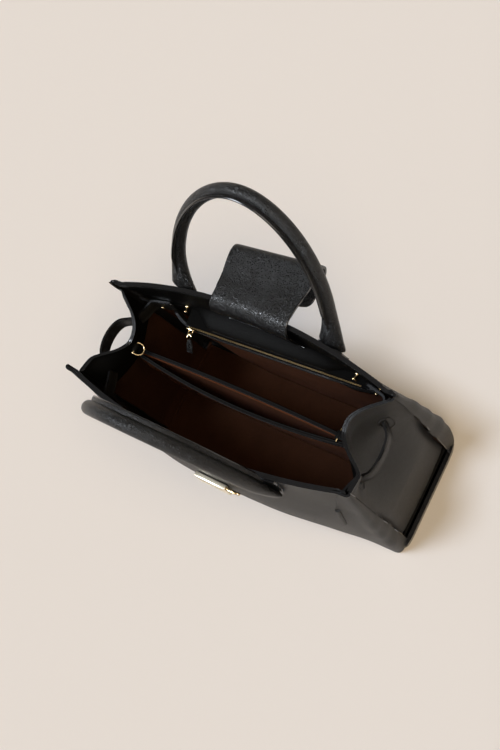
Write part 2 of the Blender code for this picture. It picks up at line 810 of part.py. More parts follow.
def build_handle_tabs(face):
    """The sewn feet of a handle, flat on the panel's outer face and clear of its turning end."""
    pivot = handle_pivot(face)
    top = pivot.z - HANDLE_FOOT_THICKNESS / 2 - TAB_CLEARANCE
    bottom = top - TAB_LENGTH[face]

    def skin(side, off):
        def point(u, v):
            wide = mix(TAB_HALF_WIDTH, HANDLE_FOOT_HALF_WIDTH, v)
            x = side * HANDLE_HALF_SPAN + u * wide
            z = mix(bottom, top, v)
            bulge = off * math.sqrt(1 - TAB_EDGE_FALL * u * u) * mix(TAB_FOOT_SHARE, 1.0, v)
            return Vector((x, face * (wall_depth(face, x, z, 0.0) + GAP + bulge), z))

        return point

    for side in (LEFT, RIGHT):
        sheet(
            f"{FACE_NAME[face]}_{SIDE_NAME[side]}_handle_tab",
            6,
            4,
            skin(side, TAB_THICKNESS),
            skin(side, 0.0),
            BLACK_LEATHER,
        )


def flap_hinge():
    """The line where the flap bends over the rear edge, above its sewn root."""
    inset = LEATHER + GAP + FACING + GAP + FLAP_WALL / 2
    y = wall_depth(REAR, 0.0, MIDDLE_HEIGHT, inset)
    return Vector((0, y, MIDDLE_HEIGHT + 3 * GAP + FLAP_WALL / 2))


def build_flap():
    """The closure flap: a root sewn inside, a body bent over the rear edge and a curled tip."""
    hinge = flap_hinge()
    root_top = hinge.z - FLAP_WALL / 2 - GAP

    def root(u, v, off):
        x, z = u * FLAP_HALF_WIDTH, mix(FLAP_SLIT_HEIGHT, root_top, v)
        inset = LEATHER + GAP + FACING + GAP + off
        return Vector((x, wall_depth(REAR, x, min(z, MIDDLE_HEIGHT), inset), z))

    sheet(
        "flap_root",
        8,
        4,
        lambda u, v: root(u, v, 0.0),
        lambda u, v: root(u, v, FLAP_WALL),
        BLACK_LEATHER,
    )

    curl_y = hinge.y + FLAP_REACH
    curl_z = hinge.z - FLAP_CURL_RADIUS
    rows = FLAP_FLAT_ROWS + FLAP_CURL_ROWS
    flat_share = FLAP_FLAT_ROWS / rows

    def body(u, v, off):
        x = u * FLAP_HALF_WIDTH
        if v <= flat_share:
            y = mix(hinge.y, curl_y, v / flat_share)
            return Vector((x, y, hinge.z + off))
        angle = (v - flat_share) / (1 - flat_share) * math.pi
        radius = FLAP_CURL_RADIUS + off
        return Vector((x, curl_y + radius * math.sin(angle), curl_z + radius * math.cos(angle)))

    made = sheet(
        "closure_flap",
        6,
        rows,
        lambda u, v: body(u, v, FLAP_WALL / 2),
        lambda u, v: body(u, v, -FLAP_WALL / 2),
        BLACK_LEATHER,
    )
    set_origin(made, hinge)

    turn = FLAP_WALL / 2
    tip_hinge = Vector((0, curl_y - turn - GAP, curl_z - FLAP_CURL_RADIUS))
    tip_rows = FLAP_EDGE_ROWS + FLAP_TIP_ROWS

    def tip(u, v, off):
        step = round(v * tip_rows)
        if step < FLAP_EDGE_ROWS:
            angle = step / FLAP_EDGE_ROWS * math.pi / 2
            lift = math.copysign(turn * math.sin(angle), off)
            return Vector((u * FLAP_HALF_WIDTH, tip_hinge.y + turn * math.cos(angle), tip_hinge.z + lift))
        reach = (step - FLAP_EDGE_ROWS) / FLAP_TIP_ROWS * FLAP_TIP_LENGTH
        near = max(reach - (FLAP_TIP_LENGTH - FLAP_TIP_CORNER), 0.0) / FLAP_TIP_CORNER
        wide = FLAP_HALF_WIDTH - FLAP_TIP_CORNER * (1 - math.sqrt(max(1 - near * near, 0.0)))
        return Vector((u * wide, tip_hinge.y - reach, tip_hinge.z + off))

    end = sheet(
        "flap_tip",
        6,
        tip_rows,
        lambda u, v: tip(u, v, FLAP_WALL / 2),
        lambda u, v: tip(u, v, -FLAP_WALL / 2),
        BLACK_LEATHER,
    )
    set_origin(end, tip_hinge)

    centre_y = tip_hinge.y - FLAP_TIP_LENGTH + CATCH_HEIGHT
    top = tip_hinge.z - FLAP_WALL / 2 - GAP
    catch = box(
        "flap_catch",
        (-CATCH_HALF_WIDTH, centre_y - CATCH_HEIGHT / 2, top - CATCH_WALL),
        (CATCH_HALF_WIDTH, centre_y + CATCH_HEIGHT / 2, top),
        GOLD,
    )
    for target, wall_low, wall_high in (
        (catch, top - 2 * CATCH_WALL, top + CATCH_WALL),
        (end, tip_hinge.z - FLAP_WALL, tip_hinge.z + FLAP_WALL),
    ):
        slot = box(
            f"{target.name}_slot",
            (-CATCH_SLOT_HALF_WIDTH, centre_y - CATCH_SLOT_HEIGHT / 2, wall_low),
            (CATCH_SLOT_HALF_WIDTH, centre_y + CATCH_SLOT_HEIGHT / 2, wall_high),
            GOLD,
        )
        cut(target, slot)
    set_origin(catch, tip_hinge)


def build_lock():
    """The front lock: a cased plate with a bore, a sliding bolt and a washer inside the bag."""
    seat = wall_frame(FRONT, LOCK_CENTRE_X, LOCK_CENTRE_Z, 0.0)
    across = seat.to_3x3() @ Vector((1, 0, 0))
    up = seat.to_3x3() @ Vector((0, 1, 0))
    if up.z < 0:
        up = -up
    out = seat.to_3x3() @ Vector((0, 0, 1))
    frame = Matrix((across, up, out)).transposed().to_4x4()
    frame.translation = seat.translation
    half = LOCK_LENGTH / 2
    plate = box(
        "lock_plate",
        (-half, -LOCK_HEIGHT / 2, 2 * GAP),
        (half, LOCK_HEIGHT / 2, 2 * GAP + LOCK_THICKNESS),
        GOLD,
        0.0007,
    )
    bolt_y = LOCK_HEIGHT / 2 - BOLT_DROP
    bolt_z = 2 * GAP + LOCK_THICKNESS / 2
    bore = cylinder(
        "bolt_bore",
        (half - BOLT_INSIDE - 2 * GAP, bolt_y, bolt_z),
        (half + LOCK_THICKNESS, bolt_y, bolt_z),
        BOLT_RADIUS + BOLT_CLEARANCE,
        GOLD,
    )
    turn = Matrix.Translation((half - BOLT_INSIDE, bolt_y, bolt_z)) @ Matrix.Rotation(math.pi / 2, 4, "Y")
    reach = BOLT_INSIDE + BOLT_OUTSIDE
    neck = math.asin(BOLT_RADIUS / KNOB_RADIUS)
    turns = [mix(neck, math.pi, step / KNOB_STEPS) for step in range(KNOB_STEPS)]
    knob = [(KNOB_RADIUS * math.sin(a), reach - KNOB_RADIUS * math.cos(a)) for a in turns]
    profile = [(0.0, 0.0), (BOLT_RADIUS, 0.0), *knob, (0.0, reach + KNOB_RADIUS)]
    bolt = turned("lock_bolt", profile, turn, GOLD, 12)
    for item in (plate, bore, bolt):
        item.data.transform(frame)
    cut(plate, bore)
    set_origin(bolt, frame @ Vector((half, bolt_y, bolt_z)))

    inset = LEATHER + 2 * GAP + LINING + 2 * GAP
    washer_seat = wall_frame(FRONT, LOCK_CENTRE_X, LOCK_CENTRE_Z, inset)
    washer = box(
        "lock_washer",
        (-WASHER_LENGTH / 2, -WASHER_HEIGHT / 2, -WASHER_WALL),
        (WASHER_LENGTH / 2, WASHER_HEIGHT / 2, 0.0),
        GOLD,
    )
    washer.data.transform(washer_seat)


def smooth_path(points, steps):
    """A smooth line through the points, with the given number of steps between two of them."""
    padded = [2 * points[0] - points[1], *points, 2 * points[-1] - points[-2]]
    path = []
    for a, b, c, d in zip(padded, padded[1:], padded[2:], padded[3:]):
        for step in range(steps):
            s = step / steps
            place = 0.5 * (
                2 * b + (c - a) * s + (2 * a - 5 * b + 4 * c - d) * s**2 + (3 * b - a - 3 * c + d) * s**3
            )
            path.append(place)
    return path + [points[-1]]


def strap_path(side):
    """The strap's centre line seen from above: rear wall, rear slot, outside, front slot, front wall."""
    low, high = STRAP_TOP - STRAP_WIDTH, STRAP_TOP
    middle_z = (low + high) / 2
    facing = LEATHER + GAP + FACING
    seat = {REAR: facing + 2 * GAP + STUD_BASE_HEIGHT, FRONT: facing + STRAP_PLAY}
    run = (STRAP_END_X, (STRAP_END_X + STUD_X["fastened"]) / 2, STUD_X["fastened"], STRAP_TURN_X)
    middle = side * (half_width(middle_z / CORNER_HEIGHT) + STRAP_STAND[side])

    def arm(face):
        off = seat[face] + STRAP_WALL / 2
        points = []
        for x in run:
            depth = min(wall_depth(face, x, low, off), wall_depth(face, x, high, off))
            points.append(Vector((side * x, face * depth)))
        slot = gusset_point(side, face * STRAP_SLOT_SHARE, middle_z, LEATHER).xy
        turn = points[-1]
        lead_x, lead_y = STRAP_LEAD_IN
        out_x, out_y = STRAP_LEAD_OUT
        points.append(Vector((mix(turn.x, slot.x, lead_x), mix(turn.y, slot.y, lead_y))))
        points.append(slot)
        points.append(Vector((mix(slot.x, middle, out_x), slot.y * out_y)))
        return points

    return smooth_path(arm(REAR) + [Vector((middle, 0.0))] + arm(FRONT)[::-1], 4)


def strap_sheet(name, side, extra, look):
    """The strap as a standing band, or its slot cutter when extra is a clearance."""
    path = strap_path(side)
    last = len(path) - 1
    half = STRAP_WALL / 2 + extra

    def point(u, v, sign):
        index = round((u + 1) / 2 * last)
        here = path[index]
        along = (path[min(index + 1, last)] - path[max(index - 1, 0)]).normalized()
        place = here + Vector((-along.y, along.x)) * half * sign
        low, high = STRAP_TOP - STRAP_WIDTH - extra, STRAP_TOP + extra
        return Vector((place.x, place.y, mix(low, high, v)))

    return sheet(name, last, 1, lambda u, v: point(u, v, 1), lambda u, v: point(u, v, -1), look)


def build_straps(gussets):
    """A strap through two slots of each gusset, held by one of two studs on the rear wall."""
    stud_z = STRAP_TOP - STRAP_WIDTH / 2
    profile = [
        (0.0, 0.0),
        (STUD_BASE_RADIUS, 0.0),
        (STUD_BASE_RADIUS, STUD_BASE_HEIGHT),
        (STUD_POST_RADIUS, STUD_BASE_HEIGHT),
    ]
    neck = math.asin(STUD_POST_RADIUS / STUD_HEAD_RADIUS)
    for step in range(STUD_HEAD_STEPS):
        angle = mix(neck, math.pi, step / STUD_HEAD_STEPS)
        height = STUD_HEIGHT - STUD_HEAD_RADIUS * (1 + math.cos(angle)) * STUD_HEAD_FLATNESS
        profile.append((STUD_HEAD_RADIUS * math.sin(angle), height))
    profile.append((0.0, STUD_HEIGHT))
    flip = Matrix.Rotation(math.pi, 4, "X")
    for side in (LEFT, RIGHT):
        name = SIDE_NAME[side]
        strap = strap_sheet(f"{name}_side_strap", side, 0.0, BLACK_LEATHER)
        cutter = strap_sheet(f"{name}_strap_slots", side, SLOT_CLEARANCE, BLACK_LEATHER)
        for layer in gussets[side]:
            cut(layer, cutter)
        for kind, x in STUD_X.items():
            seat = wall_frame(REAR, side * x, stud_z, LEATHER + GAP + FACING + GAP)
            turned(f"{name}_{kind}_stud", profile, seat @ flip, GOLD, 10)
            if kind == "fastened":
                hole_radius = STUD_POST_RADIUS + STUD_HOLE_CLEARANCE
                end = seat @ Vector((0, 0, -STUD_HEIGHT - STRAP_WALL))
                hole = cylinder(f"{name}_stud_hole", seat.translation, end, hole_radius, BLACK_LEATHER, 12)
                cut(strap, hole)


def build_rings():
    """A wire ring in a leather loop at the fold of each gusset, for a shoulder strap."""
    wrap_radius = RING_WIRE + GAP + RING_LOOP_WALL
    half = RING_LOOP_HALF_WIDTH
    for side in (LEFT, RIGHT):
        name = SIDE_NAME[side]
        height = RING_HEIGHT[side]
        wall = side_facing(side, height, GAP)
        up = (side_facing(side, height, GAP) - side_facing(side, height - half, GAP)).normalized()
        inward = Vector((-side * up.z, 0, side * up.x))
        depth = up.cross(inward)
        frame = Matrix((inward, depth, up)).transposed().to_4x4()
        frame.translation = wall
        stand = RING_STAND[side]
        axis = wall + inward * (wrap_radius + stand)
        angle = RING_ANGLE[side]
        hang = Vector((-side * math.cos(angle), 0, -math.sin(angle)))
        ring = [axis + Vector((0, -RING_HALF_WIDTH, 0)), axis + Vector((0, RING_HALF_WIDTH, 0))]
        for step in range(RING_STEPS + 1):
            turn = step / RING_STEPS * math.pi
            reach = hang * RING_HALF_WIDTH * (RING_STRAIGHT_SHARE + math.sin(turn))
            ring.append(axis + Vector((0, RING_HALF_WIDTH * math.cos(turn), 0)) + reach)
        set_origin(wire_ring(f"{name}_d_ring", ring, RING_WIRE, GOLD), axis)

        hub = Vector((wrap_radius + stand, 0, 0))
        thick = RING_LOOP_WALL
        loop = box(f"{name}_ring_loop", (0, -half, -RING_LOOP_TAIL), (thick, half, thick), BLACK_LEATHER)
        arm = box(f"{name}_loop_arm", (thick / 2, -half, -thick), (hub.x, half, thick), BLACK_LEATHER)
        reach = Vector((0, half, 0))
        wrap = cylinder(f"{name}_loop_wrap", hub - reach, hub + reach, wrap_radius, BLACK_LEATHER)
        bore = cylinder(f"{name}_loop_bore", hub - 2 * reach, hub + 2 * reach, RING_WIRE + GAP, BLACK_LEATHER)
        for item in (loop, arm, wrap, bore):
            item.data.transform(frame)
        cut(loop, arm, "UNION")
        cut(loop, wrap, "UNION")
        cut(loop, bore)


def main():
    clear_scene()
    build_base()
    build_walls()
    gussets = build_gussets()
    build_divider()
    build_pocket()
    build_slider()
    for face in (FRONT, REAR):
        build_handle(face)
        build_handle_tabs(face)
    build_flap()
    build_lock()
    build_straps(gussets)
    build_rings()


main()
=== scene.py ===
# %% [markdown]
# # A structured leather tote bag
# The bag stands open on a pale floor, seen from above its right front corner. Its frame, with the
# true sizes and the moving parts, comes ready made. This lesson dresses that frame: leather
# shells, a suede lining, painted edges, thread, a zip and gold fittings.

# %% Load the frame
import json
import math

import bmesh
import bpy
from mathutils import Matrix, Vector, noise


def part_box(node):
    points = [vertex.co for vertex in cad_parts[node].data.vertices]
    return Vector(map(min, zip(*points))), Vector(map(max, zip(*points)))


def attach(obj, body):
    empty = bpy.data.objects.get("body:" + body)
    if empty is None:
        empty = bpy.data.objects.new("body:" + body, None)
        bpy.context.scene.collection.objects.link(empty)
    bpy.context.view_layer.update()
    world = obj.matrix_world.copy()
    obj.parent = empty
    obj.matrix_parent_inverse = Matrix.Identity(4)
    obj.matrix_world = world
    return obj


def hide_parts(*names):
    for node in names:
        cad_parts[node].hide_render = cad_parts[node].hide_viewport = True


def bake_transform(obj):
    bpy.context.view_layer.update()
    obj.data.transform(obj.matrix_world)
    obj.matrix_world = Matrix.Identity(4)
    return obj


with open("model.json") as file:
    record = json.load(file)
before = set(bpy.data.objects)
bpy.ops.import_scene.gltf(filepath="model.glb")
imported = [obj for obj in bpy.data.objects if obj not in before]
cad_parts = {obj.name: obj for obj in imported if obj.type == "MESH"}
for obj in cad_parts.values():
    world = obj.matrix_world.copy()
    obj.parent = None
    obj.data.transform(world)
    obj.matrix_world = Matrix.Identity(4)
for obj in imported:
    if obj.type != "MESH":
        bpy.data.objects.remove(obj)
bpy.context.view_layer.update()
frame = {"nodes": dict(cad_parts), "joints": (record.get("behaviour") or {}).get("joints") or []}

# %% [markdown]
# ## Small functions
# A few short functions are used all over: they blend two values, ease from one to the other, or
# give evenly spaced values along a path.


# %% Small functions
def clamp(share):
    return min(max(share, 0.0), 1.0)


def mix(start, end, share):
    return start + (end - start) * share


def ease(share):
    share = clamp(share)
    return share * share * (3 - 2 * share)


def hill(distance, width):
    """A smooth bump of height 1, which has faded out at twice its width."""
    return math.exp(-((distance / width) ** 2))


def arch(share):
    """From 0 up to 1 and back to 0."""
    return math.sin(math.pi * share)


def lumps(*place):
    """Smooth random values between -1 and 1."""
    return noise.noise(Vector(place))


def steps(count, low=0.0, high=1.0):
    return [mix(low, high, step / count) for step in range(count + 1)]


def polar(angle):
    return Vector((math.cos(angle), math.sin(angle)))


def hinge_place(name):
    return Vector([joint["pos_m"] for joint in frame["joints"] if joint["name"] == name][0])


def show(thing):
    bpy.context.scene.collection.objects.link(thing)
    return thing


print("five steps from 0 to 1:", steps(5))

# %% [markdown]
# ## Camera
# The camera was solved from the bag's corners. Blender takes the longer side of the picture for
# the sensor's width, so the lens follows from the focal length in pixels and the 750 px side.

# %% Camera
CAMERA_PLACE = (0.4998853, -0.1069594, 1.1685616)
CAMERA_TURN = Vector((0.21957504, 0.43513409, 0.42163296))
FOCAL_PIXELS, LONG_SIDE_PIXELS, SENSOR = 1105, 750, 36.0

camera = show(bpy.data.objects.new("photo_camera", bpy.data.cameras.new("photo_camera")))
camera.data.sensor_width = SENSOR
camera.data.lens = SENSOR * FOCAL_PIXELS / LONG_SIDE_PIXELS
turn = Matrix.Rotation(CAMERA_TURN.length, 4, CAMERA_TURN.normalized())
camera.matrix_world = Matrix.Translation(CAMERA_PLACE) @ turn
bpy.context.scene.camera = camera
print("camera lens:", round(camera.data.lens, 2), "mm")

# %% [markdown]
# ## Shader maths
# A pattern such as leather grain is arithmetic on textures. Adding each Math node by hand hides
# the formula, so a small class wraps a socket and turns Python's operators into nodes.


# %% A wrapped socket
def operator(operation, swapped=False):
    def add_node(one, two):
        values = (two, one) if swapped else (one, two)
        return one.look.add("ShaderNodeMath", {"operation": operation}, *values)

    return add_node


class Wire:
    """A socket that can be added, subtracted and multiplied, which adds Math nodes."""

    def __init__(self, look, socket):
        self.look = look
        self.socket = socket

    __add__ = __radd__ = operator("ADD")
    __mul__ = __rmul__ = operator("MULTIPLY")
    __sub__ = operator("SUBTRACT")
    __rsub__ = operator("SUBTRACT", swapped=True)


class Look:
    """A material under construction. Its patterns lie in the object's own space."""

    def __init__(self, name):
        self.material = bpy.data.materials.new(name)
        self.material.use_nodes = True
        self.tree = self.material.node_tree
        self.shader = self.tree.nodes["Principled BSDF"]
        self.place = self.add("ShaderNodeTexCoord", {}, output="Object")

    def feed(self, socket, value):
        """Link a wire to a socket, or give it a number, a colour or a vector."""
        if isinstance(value, Wire):
            self.tree.links.new(value.socket, socket)
        else:
            socket.default_value = (*value, 1.0) if socket.type == "RGBA" else value

    def add(self, kind, settings, *values, output=0, **named):
        """Any node: its settings first, then the values or links of its sockets."""
        node = self.tree.nodes.new(kind)
        for key, value in settings.items():
            setattr(node, key, value)
        for key, value in [*enumerate(values), *named.items()]:
            self.feed(node.inputs[key if isinstance(key, int) else key.replace("_", " ")], value)
        return Wire(self, node.outputs[output])

    def noise(self, scale, detail=2.0, roughness=0.5):
        sockets = {"Vector": self.place, "Scale": scale, "Detail": detail, "Roughness": roughness}
        return self.add("ShaderNodeTexNoise", {}, **sockets)

    def bands(self, direction, scale, distortion):
        sockets = {"Vector": self.place, "Scale": scale, "Distortion": distortion}
        return self.add("ShaderNodeTexWave", {"bands_direction": direction}, **sockets)

    def between(self, low, high, share):
        """A colour between two colours."""
        mixed = self.add("ShaderNodeMix", {"data_type": "RGBA"}, output=2, Factor=share)
        self.feed(mixed.socket.node.inputs[6], low)
        self.feed(mixed.socket.node.inputs[7], high)
        return mixed

    def bump(self, height, distance):
        return self.add("ShaderNodeBump", {}, output="Normal", Distance=distance, Height=height)

    def wear(self, **finish):
        """Set the shader's own sockets."""
        for key, value in finish.items():
            self.feed(self.shader.inputs[key.replace("_", " ")], value)
        return self.material


print("shader helpers ready")

# %% [markdown]
# ## Leather
# The bag has two black leathers. The body is a fine-grained calf with a soft satin shine, which
# picks up the warm floor. The handles and the flap are pebbled: small rounded cells with thin
# valleys between them. The distance to the nearest Voronoi edge gives such cells, and noise bends
# them so that they don't look like a honeycomb. The grain is under a millimetre, so it is bump.

# %% Leather
GRAIN_BEND, VALLEY_WIDTH = 0.9, 0.32


def leather(name, grain, depth, roughness, dark, light, gloss):
    look = Look(name)
    bend_scale = {"Vector": look.place, "Scale": grain * GRAIN_BEND, "Detail": 1.0}
    drift = look.add("ShaderNodeTexNoise", {}, output="Color", **bend_scale)
    reach = (GRAIN_BEND / grain,) * 3
    bent = look.add("ShaderNodeVectorMath", {"operation": "MULTIPLY_ADD"}, drift, reach, look.place)
    cells = {"feature": "DISTANCE_TO_EDGE"}
    valley = look.add("ShaderNodeTexVoronoi", cells, Vector=bent, Scale=grain)
    soft = {"interpolation_type": "SMOOTHSTEP"}
    pebble = look.add("ShaderNodeMapRange", soft, valley, 0.0, VALLEY_WIDTH, 0.0, 1.0)
    fine = look.noise(grain * 4, 3.0, 0.6)
    cloud = look.noise(22.0, 3.0, 0.55)
    handled = look.noise(70.0, 2.0, 0.5)
    return look.wear(
        Base_Color=look.between(dark, light, cloud),
        Roughness=roughness + (cloud - 0.5) * 0.18 + (1.0 - pebble) * 0.12,
        Normal=look.bump(pebble * 0.8 + fine * 0.25 + handled * 0.6, depth),
        Specular_IOR_Level=gloss,
    )


BODY_TINTS = (0.0070, 0.0064, 0.0056), (0.0120, 0.0110, 0.0095)
INNER_TINTS = (0.0036, 0.0034, 0.0031), (0.0063, 0.0059, 0.0053)
PEBBLED_TINTS = (0.0046, 0.0045, 0.0045), (0.0080, 0.0079, 0.0078)
body_leather = leather("body_leather", 900.0, 0.00016, 0.42, *BODY_TINTS, 0.38)
inner_leather = leather("inner_leather", 900.0, 0.00012, 0.46, *INNER_TINTS, 0.07)
pebbled_leather = leather("pebbled_leather", 640.0, 0.00044, 0.26, *PEBBLED_TINTS, 0.50)
print("leathers:", body_leather.name, inner_leather.name, pebbled_leather.name)

# %% [markdown]
# ## Suede, paint, thread, tape and metal
# Suede has a nap: its colour shifts in soft patches where it was stroked, over a fine fibre. The
# pockets get a lighter copy of the lining's suede, as painted light for the light that falls on
# their fronts. Cut leather edges are painted black and polished. The zip's tape is woven in a
# herringbone, and the fittings are pale gold, with faint brushing that varies their roughness.


# %% Other finishes
def suede(name, dark, light):
    look = Look(name)
    nap = look.noise(34.0, 4.0, 0.62)
    fibre = look.noise(1500.0, 2.0, 0.7)
    fluff = look.noise(420.0, 3.0, 0.6)
    return look.wear(
        Base_Color=look.between(dark, light, nap * 0.75 + fluff * 0.35 - 0.05),
        Roughness=0.95,
        Specular_IOR_Level=0.04,
        Sheen_Weight=0.03,
        Sheen_Roughness=0.45,
        Sheen_Tint=(0.75, 0.42, 0.30),
        Normal=look.bump(fibre * 0.6 + fluff, 0.0003),
    )


def edge_paint(name):
    look = Look(name)
    ripple = look.noise(260.0)
    return look.wear(
        Base_Color=look.between((0.004, 0.004, 0.0045), (0.008, 0.008, 0.009), ripple),
        Roughness=0.15 + ripple * 0.06,
        Specular_IOR_Level=0.9,
        Normal=look.bump(ripple, 0.00005),
    )


def thread(name):
    look = Look(name)
    twist = look.bands("DIAGONAL", 900.0, 0.5)
    return look.wear(
        Base_Color=look.between((0.012, 0.012, 0.012), (0.050, 0.050, 0.051), twist),
        Roughness=0.42,
        Normal=look.bump(twist, 0.00008),
    )


def tape(name):
    look = Look(name)
    rib = look.bands("DIAGONAL", 420.0, 0.0)
    weft = look.bands("X", 330.0, 0.4)
    dark, light = (0.0016, 0.0016, 0.0016), (0.0066, 0.0063, 0.0060)
    return look.wear(
        Base_Color=look.between(dark, light, rib * 0.6 + weft * 0.4),
        Roughness=0.9,
        Specular_IOR_Level=0.04,
        Normal=look.bump(rib + weft, 0.00018),
    )


def gold(name, roughness, brushing, tint):
    look = Look(name)
    stretched = look.add("ShaderNodeMapping", {}, Vector=look.place, Scale=(60.0, 1400.0, 1400.0))
    brushed = look.add("ShaderNodeTexNoise", {}, Vector=stretched, Scale=1.0, Detail=2.0)
    stain = look.noise(120.0)
    darker = tuple(share * 0.82 for share in tint)
    return look.wear(
        Base_Color=look.between(darker, tint, 0.35 + stain * 0.65),
        Metallic=1.0,
        Roughness=roughness + brushed * brushing + (stain - 0.5) * 0.08,
        Normal=look.bump(brushed, 0.00002),
    )


brown_suede = suede("brown_suede", (0.022, 0.0086, 0.0043), (0.054, 0.0200, 0.0098))
# A lighter copy of the lining's suede: painted light for the lit fronts of the pocket and the divider.
painted_lit_suede = suede("painted_lit_suede", (0.084, 0.0270, 0.0115), (0.200, 0.0650, 0.0280))
black_paint = edge_paint("black_edge_paint")
black_thread = thread("black_thread")
black_tape = tape("black_zip_tape")
polished_gold = gold("polished_gold", 0.12, 0.08, (0.84, 0.67, 0.40))
brushed_gold = gold("brushed_gold", 0.24, 0.20, (0.93, 0.84, 0.66))
antique_gold = gold("antique_gold", 0.30, 0.10, (0.52, 0.37, 0.18))
ring_gold = gold("ring_gold", 0.20, 0.08, (0.62, 0.47, 0.26))
painted = (body_leather, black_paint)
painted_inside = (inner_leather, black_paint)
pebbled = (pebbled_leather, black_paint)
print("finishes ready:", len(bpy.data.materials), "materials")

# %% [markdown]
# ## The bag's shape
# Every layer of a wall, from the outer leather to the suede, follows one curved surface at its own
# depth. Writing that surface once as a few functions keeps the layers parallel and lets the
# pockets, straps and studs sit on it. The values are the frame's own sizes in metres.

# %% Sizes of the body
FRONT, REAR = -1, 1
LEFT, RIGHT = -1, 1
SIDE_NAME = {LEFT: "left", RIGHT: "right"}
FACE_NAME = {FRONT: "front", REAR: "rear"}
BASE_HALF_WIDTH, TOP_HALF_WIDTH = 0.166, 0.168
BASE_HALF_DEPTH, TOP_HALF_DEPTH, CORNER_HALF_DEPTH = 0.070, 0.074, 0.0485
TOP_CURVE_POWER = 2.2
MIDDLE_HEIGHT, CORNER_HEIGHT, TRAY_HEIGHT = 0.245, 0.236, 0.009
BELLY = {FRONT: 0.0165, REAR: 0.004}
LEATHER, FACING, LINING, GAP = 0.0022, 0.0018, 0.0010, 0.0003
BEHIND_LEATHER, BEHIND_FACING = LEATHER + GAP, LEATHER + GAP + FACING
CORNER_ROLL_WIDTH, CORNER_ROLL_DEPTH_LOW, CORNER_ROLL_DEPTH_HIGH = 0.012, 0.018, 0.005
CORNER_SQUARENESS = 0.5
ROLL_PUFF, ROLL_OPEN = {FRONT: (0.0046, 0.0022), REAR: (0.0050, 0.0088)}, 0.60
ROLL_LUMPS, ROLL_LUMP_SHARE = 30, 0.45
PUFF_FROM, PUFF_ON_FACE, PUFF_LOWERING, PUFF_FULLNESS, PUFF_ROUNDNESS = 0.80, 0.8, 0.75, 0.8, 0.7
FLAT_SHARE, INNER_REACH, FACING_START = 2 / 3, 20 / 24, 9 / 12
GUSSET_SEAT, GUSSET_TUCK_SHARE, GUSSET_INNER_REACH = 0.0006, 0.1, 0.97
GUSSET_CROWN, GUSSET_GROOVE, GUSSET_GROOVE_WIDTH, GUSSET_FULL_TO = 0.0020, 0.0036, 0.13, 0.70
GUSSET_FOOT_TURN, GUSSET_FOOT_RISE = 0.0034, 0.014
PINCH_DEPTH, PINCH_POWER, PINCH_FROM, PINCH_TO, PINCH_GROWTH = 0.031, 1.6, 0.40, 0.87, 1.3
FOLD_LOW, FOLD_RISE, FOLD_SHIFT, FOLD_WIDTH, FOLD_GAIN = 0.184, 0.040, 0.19, 0.81, 1.08
GUSSET_DROP, GUSSET_DIP, GUSSET_FACING_START = {LEFT: 0.018, RIGHT: 0.006}, 0.008, 0.160
SLACK_WAVES = ((14, 3.0, 17, 0.0011), (38, 7.0, 30, 0.00035))
SLACK_FROM, SLACK_RIM, SLACK_RIM_LOSS = 0.02, 0.225, 0.6
LOCK_X, LOCK_Z, LOCK_CALM_X, LOCK_CALM_Z = -0.003, 0.145, 0.03, 0.02
print("mouth:", 2 * TOP_HALF_WIDTH, "m wide")

# %% [markdown]
# Real leather is never a perfect surface. A few slow waves and soft dents, all under 2 mm, go into
# the shared surface, so that every layer follows them. They fade out where fittings are mounted.


# %% The walls' surface
def half_width(t):
    return mix(BASE_HALF_WIDTH, TOP_HALF_WIDTH, t)


def rim_height(a):
    return MIDDLE_HEIGHT - (MIDDLE_HEIGHT - CORNER_HEIGHT) * a**2


def slack(face, x, z):
    """How far the soft leather moves out of its plain shape."""
    wave = sum(lumps(x * wide, face * shift, z * high) * size for wide, shift, high, size in SLACK_WAVES)
    calm_at_lock = 1 - hill(x - LOCK_X, LOCK_CALM_X) * hill(z - LOCK_Z, LOCK_CALM_Z)
    calm_at_rim = 1 - SLACK_RIM_LOSS * ease((z - SLACK_RIM) / SLACK_FROM)
    return wave * calm_at_lock * ease(z / SLACK_FROM) * calm_at_rim


def face_depth(face, a, t, side=0):
    """Half the bag's depth at a share a of the width and a share t of the height."""
    top = TOP_HALF_DEPTH - (TOP_HALF_DEPTH - CORNER_HALF_DEPTH) * a**TOP_CURVE_POWER
    swell = arch(clamp(t))
    if t > 0.5:
        swell *= swell
    plain = mix(BASE_HALF_DEPTH, top, t) + BELLY[face] * swell * (1 - a**3)
    return plain + slack(face, side * a * half_width(t), t * rim_height(a))


def wall_depth(face, x, z, inset):
    t = z / MIDDLE_HEIGHT
    for _ in range(4):
        a = min(abs(x) / half_width(t), 1.0)
        t = z / rim_height(a)
    return face_depth(face, a, t, 1 if x > 0 else -1) - inset


def roll_depth(t):
    return mix(CORNER_ROLL_DEPTH_LOW, CORNER_ROLL_DEPTH_HIGH, t)


def seam_depth(t):
    a = 1 - CORNER_ROLL_WIDTH / half_width(t)
    return min(face_depth(FRONT, a, t), face_depth(REAR, a, t)) - roll_depth(t)


def round_off(angle):
    across = abs(math.sin(angle)) ** CORNER_SQUARENESS
    along = abs(math.cos(angle)) ** CORNER_SQUARENESS
    return (across, along) if angle < math.pi / 2 - 1e-6 else (1.0, 0.0)


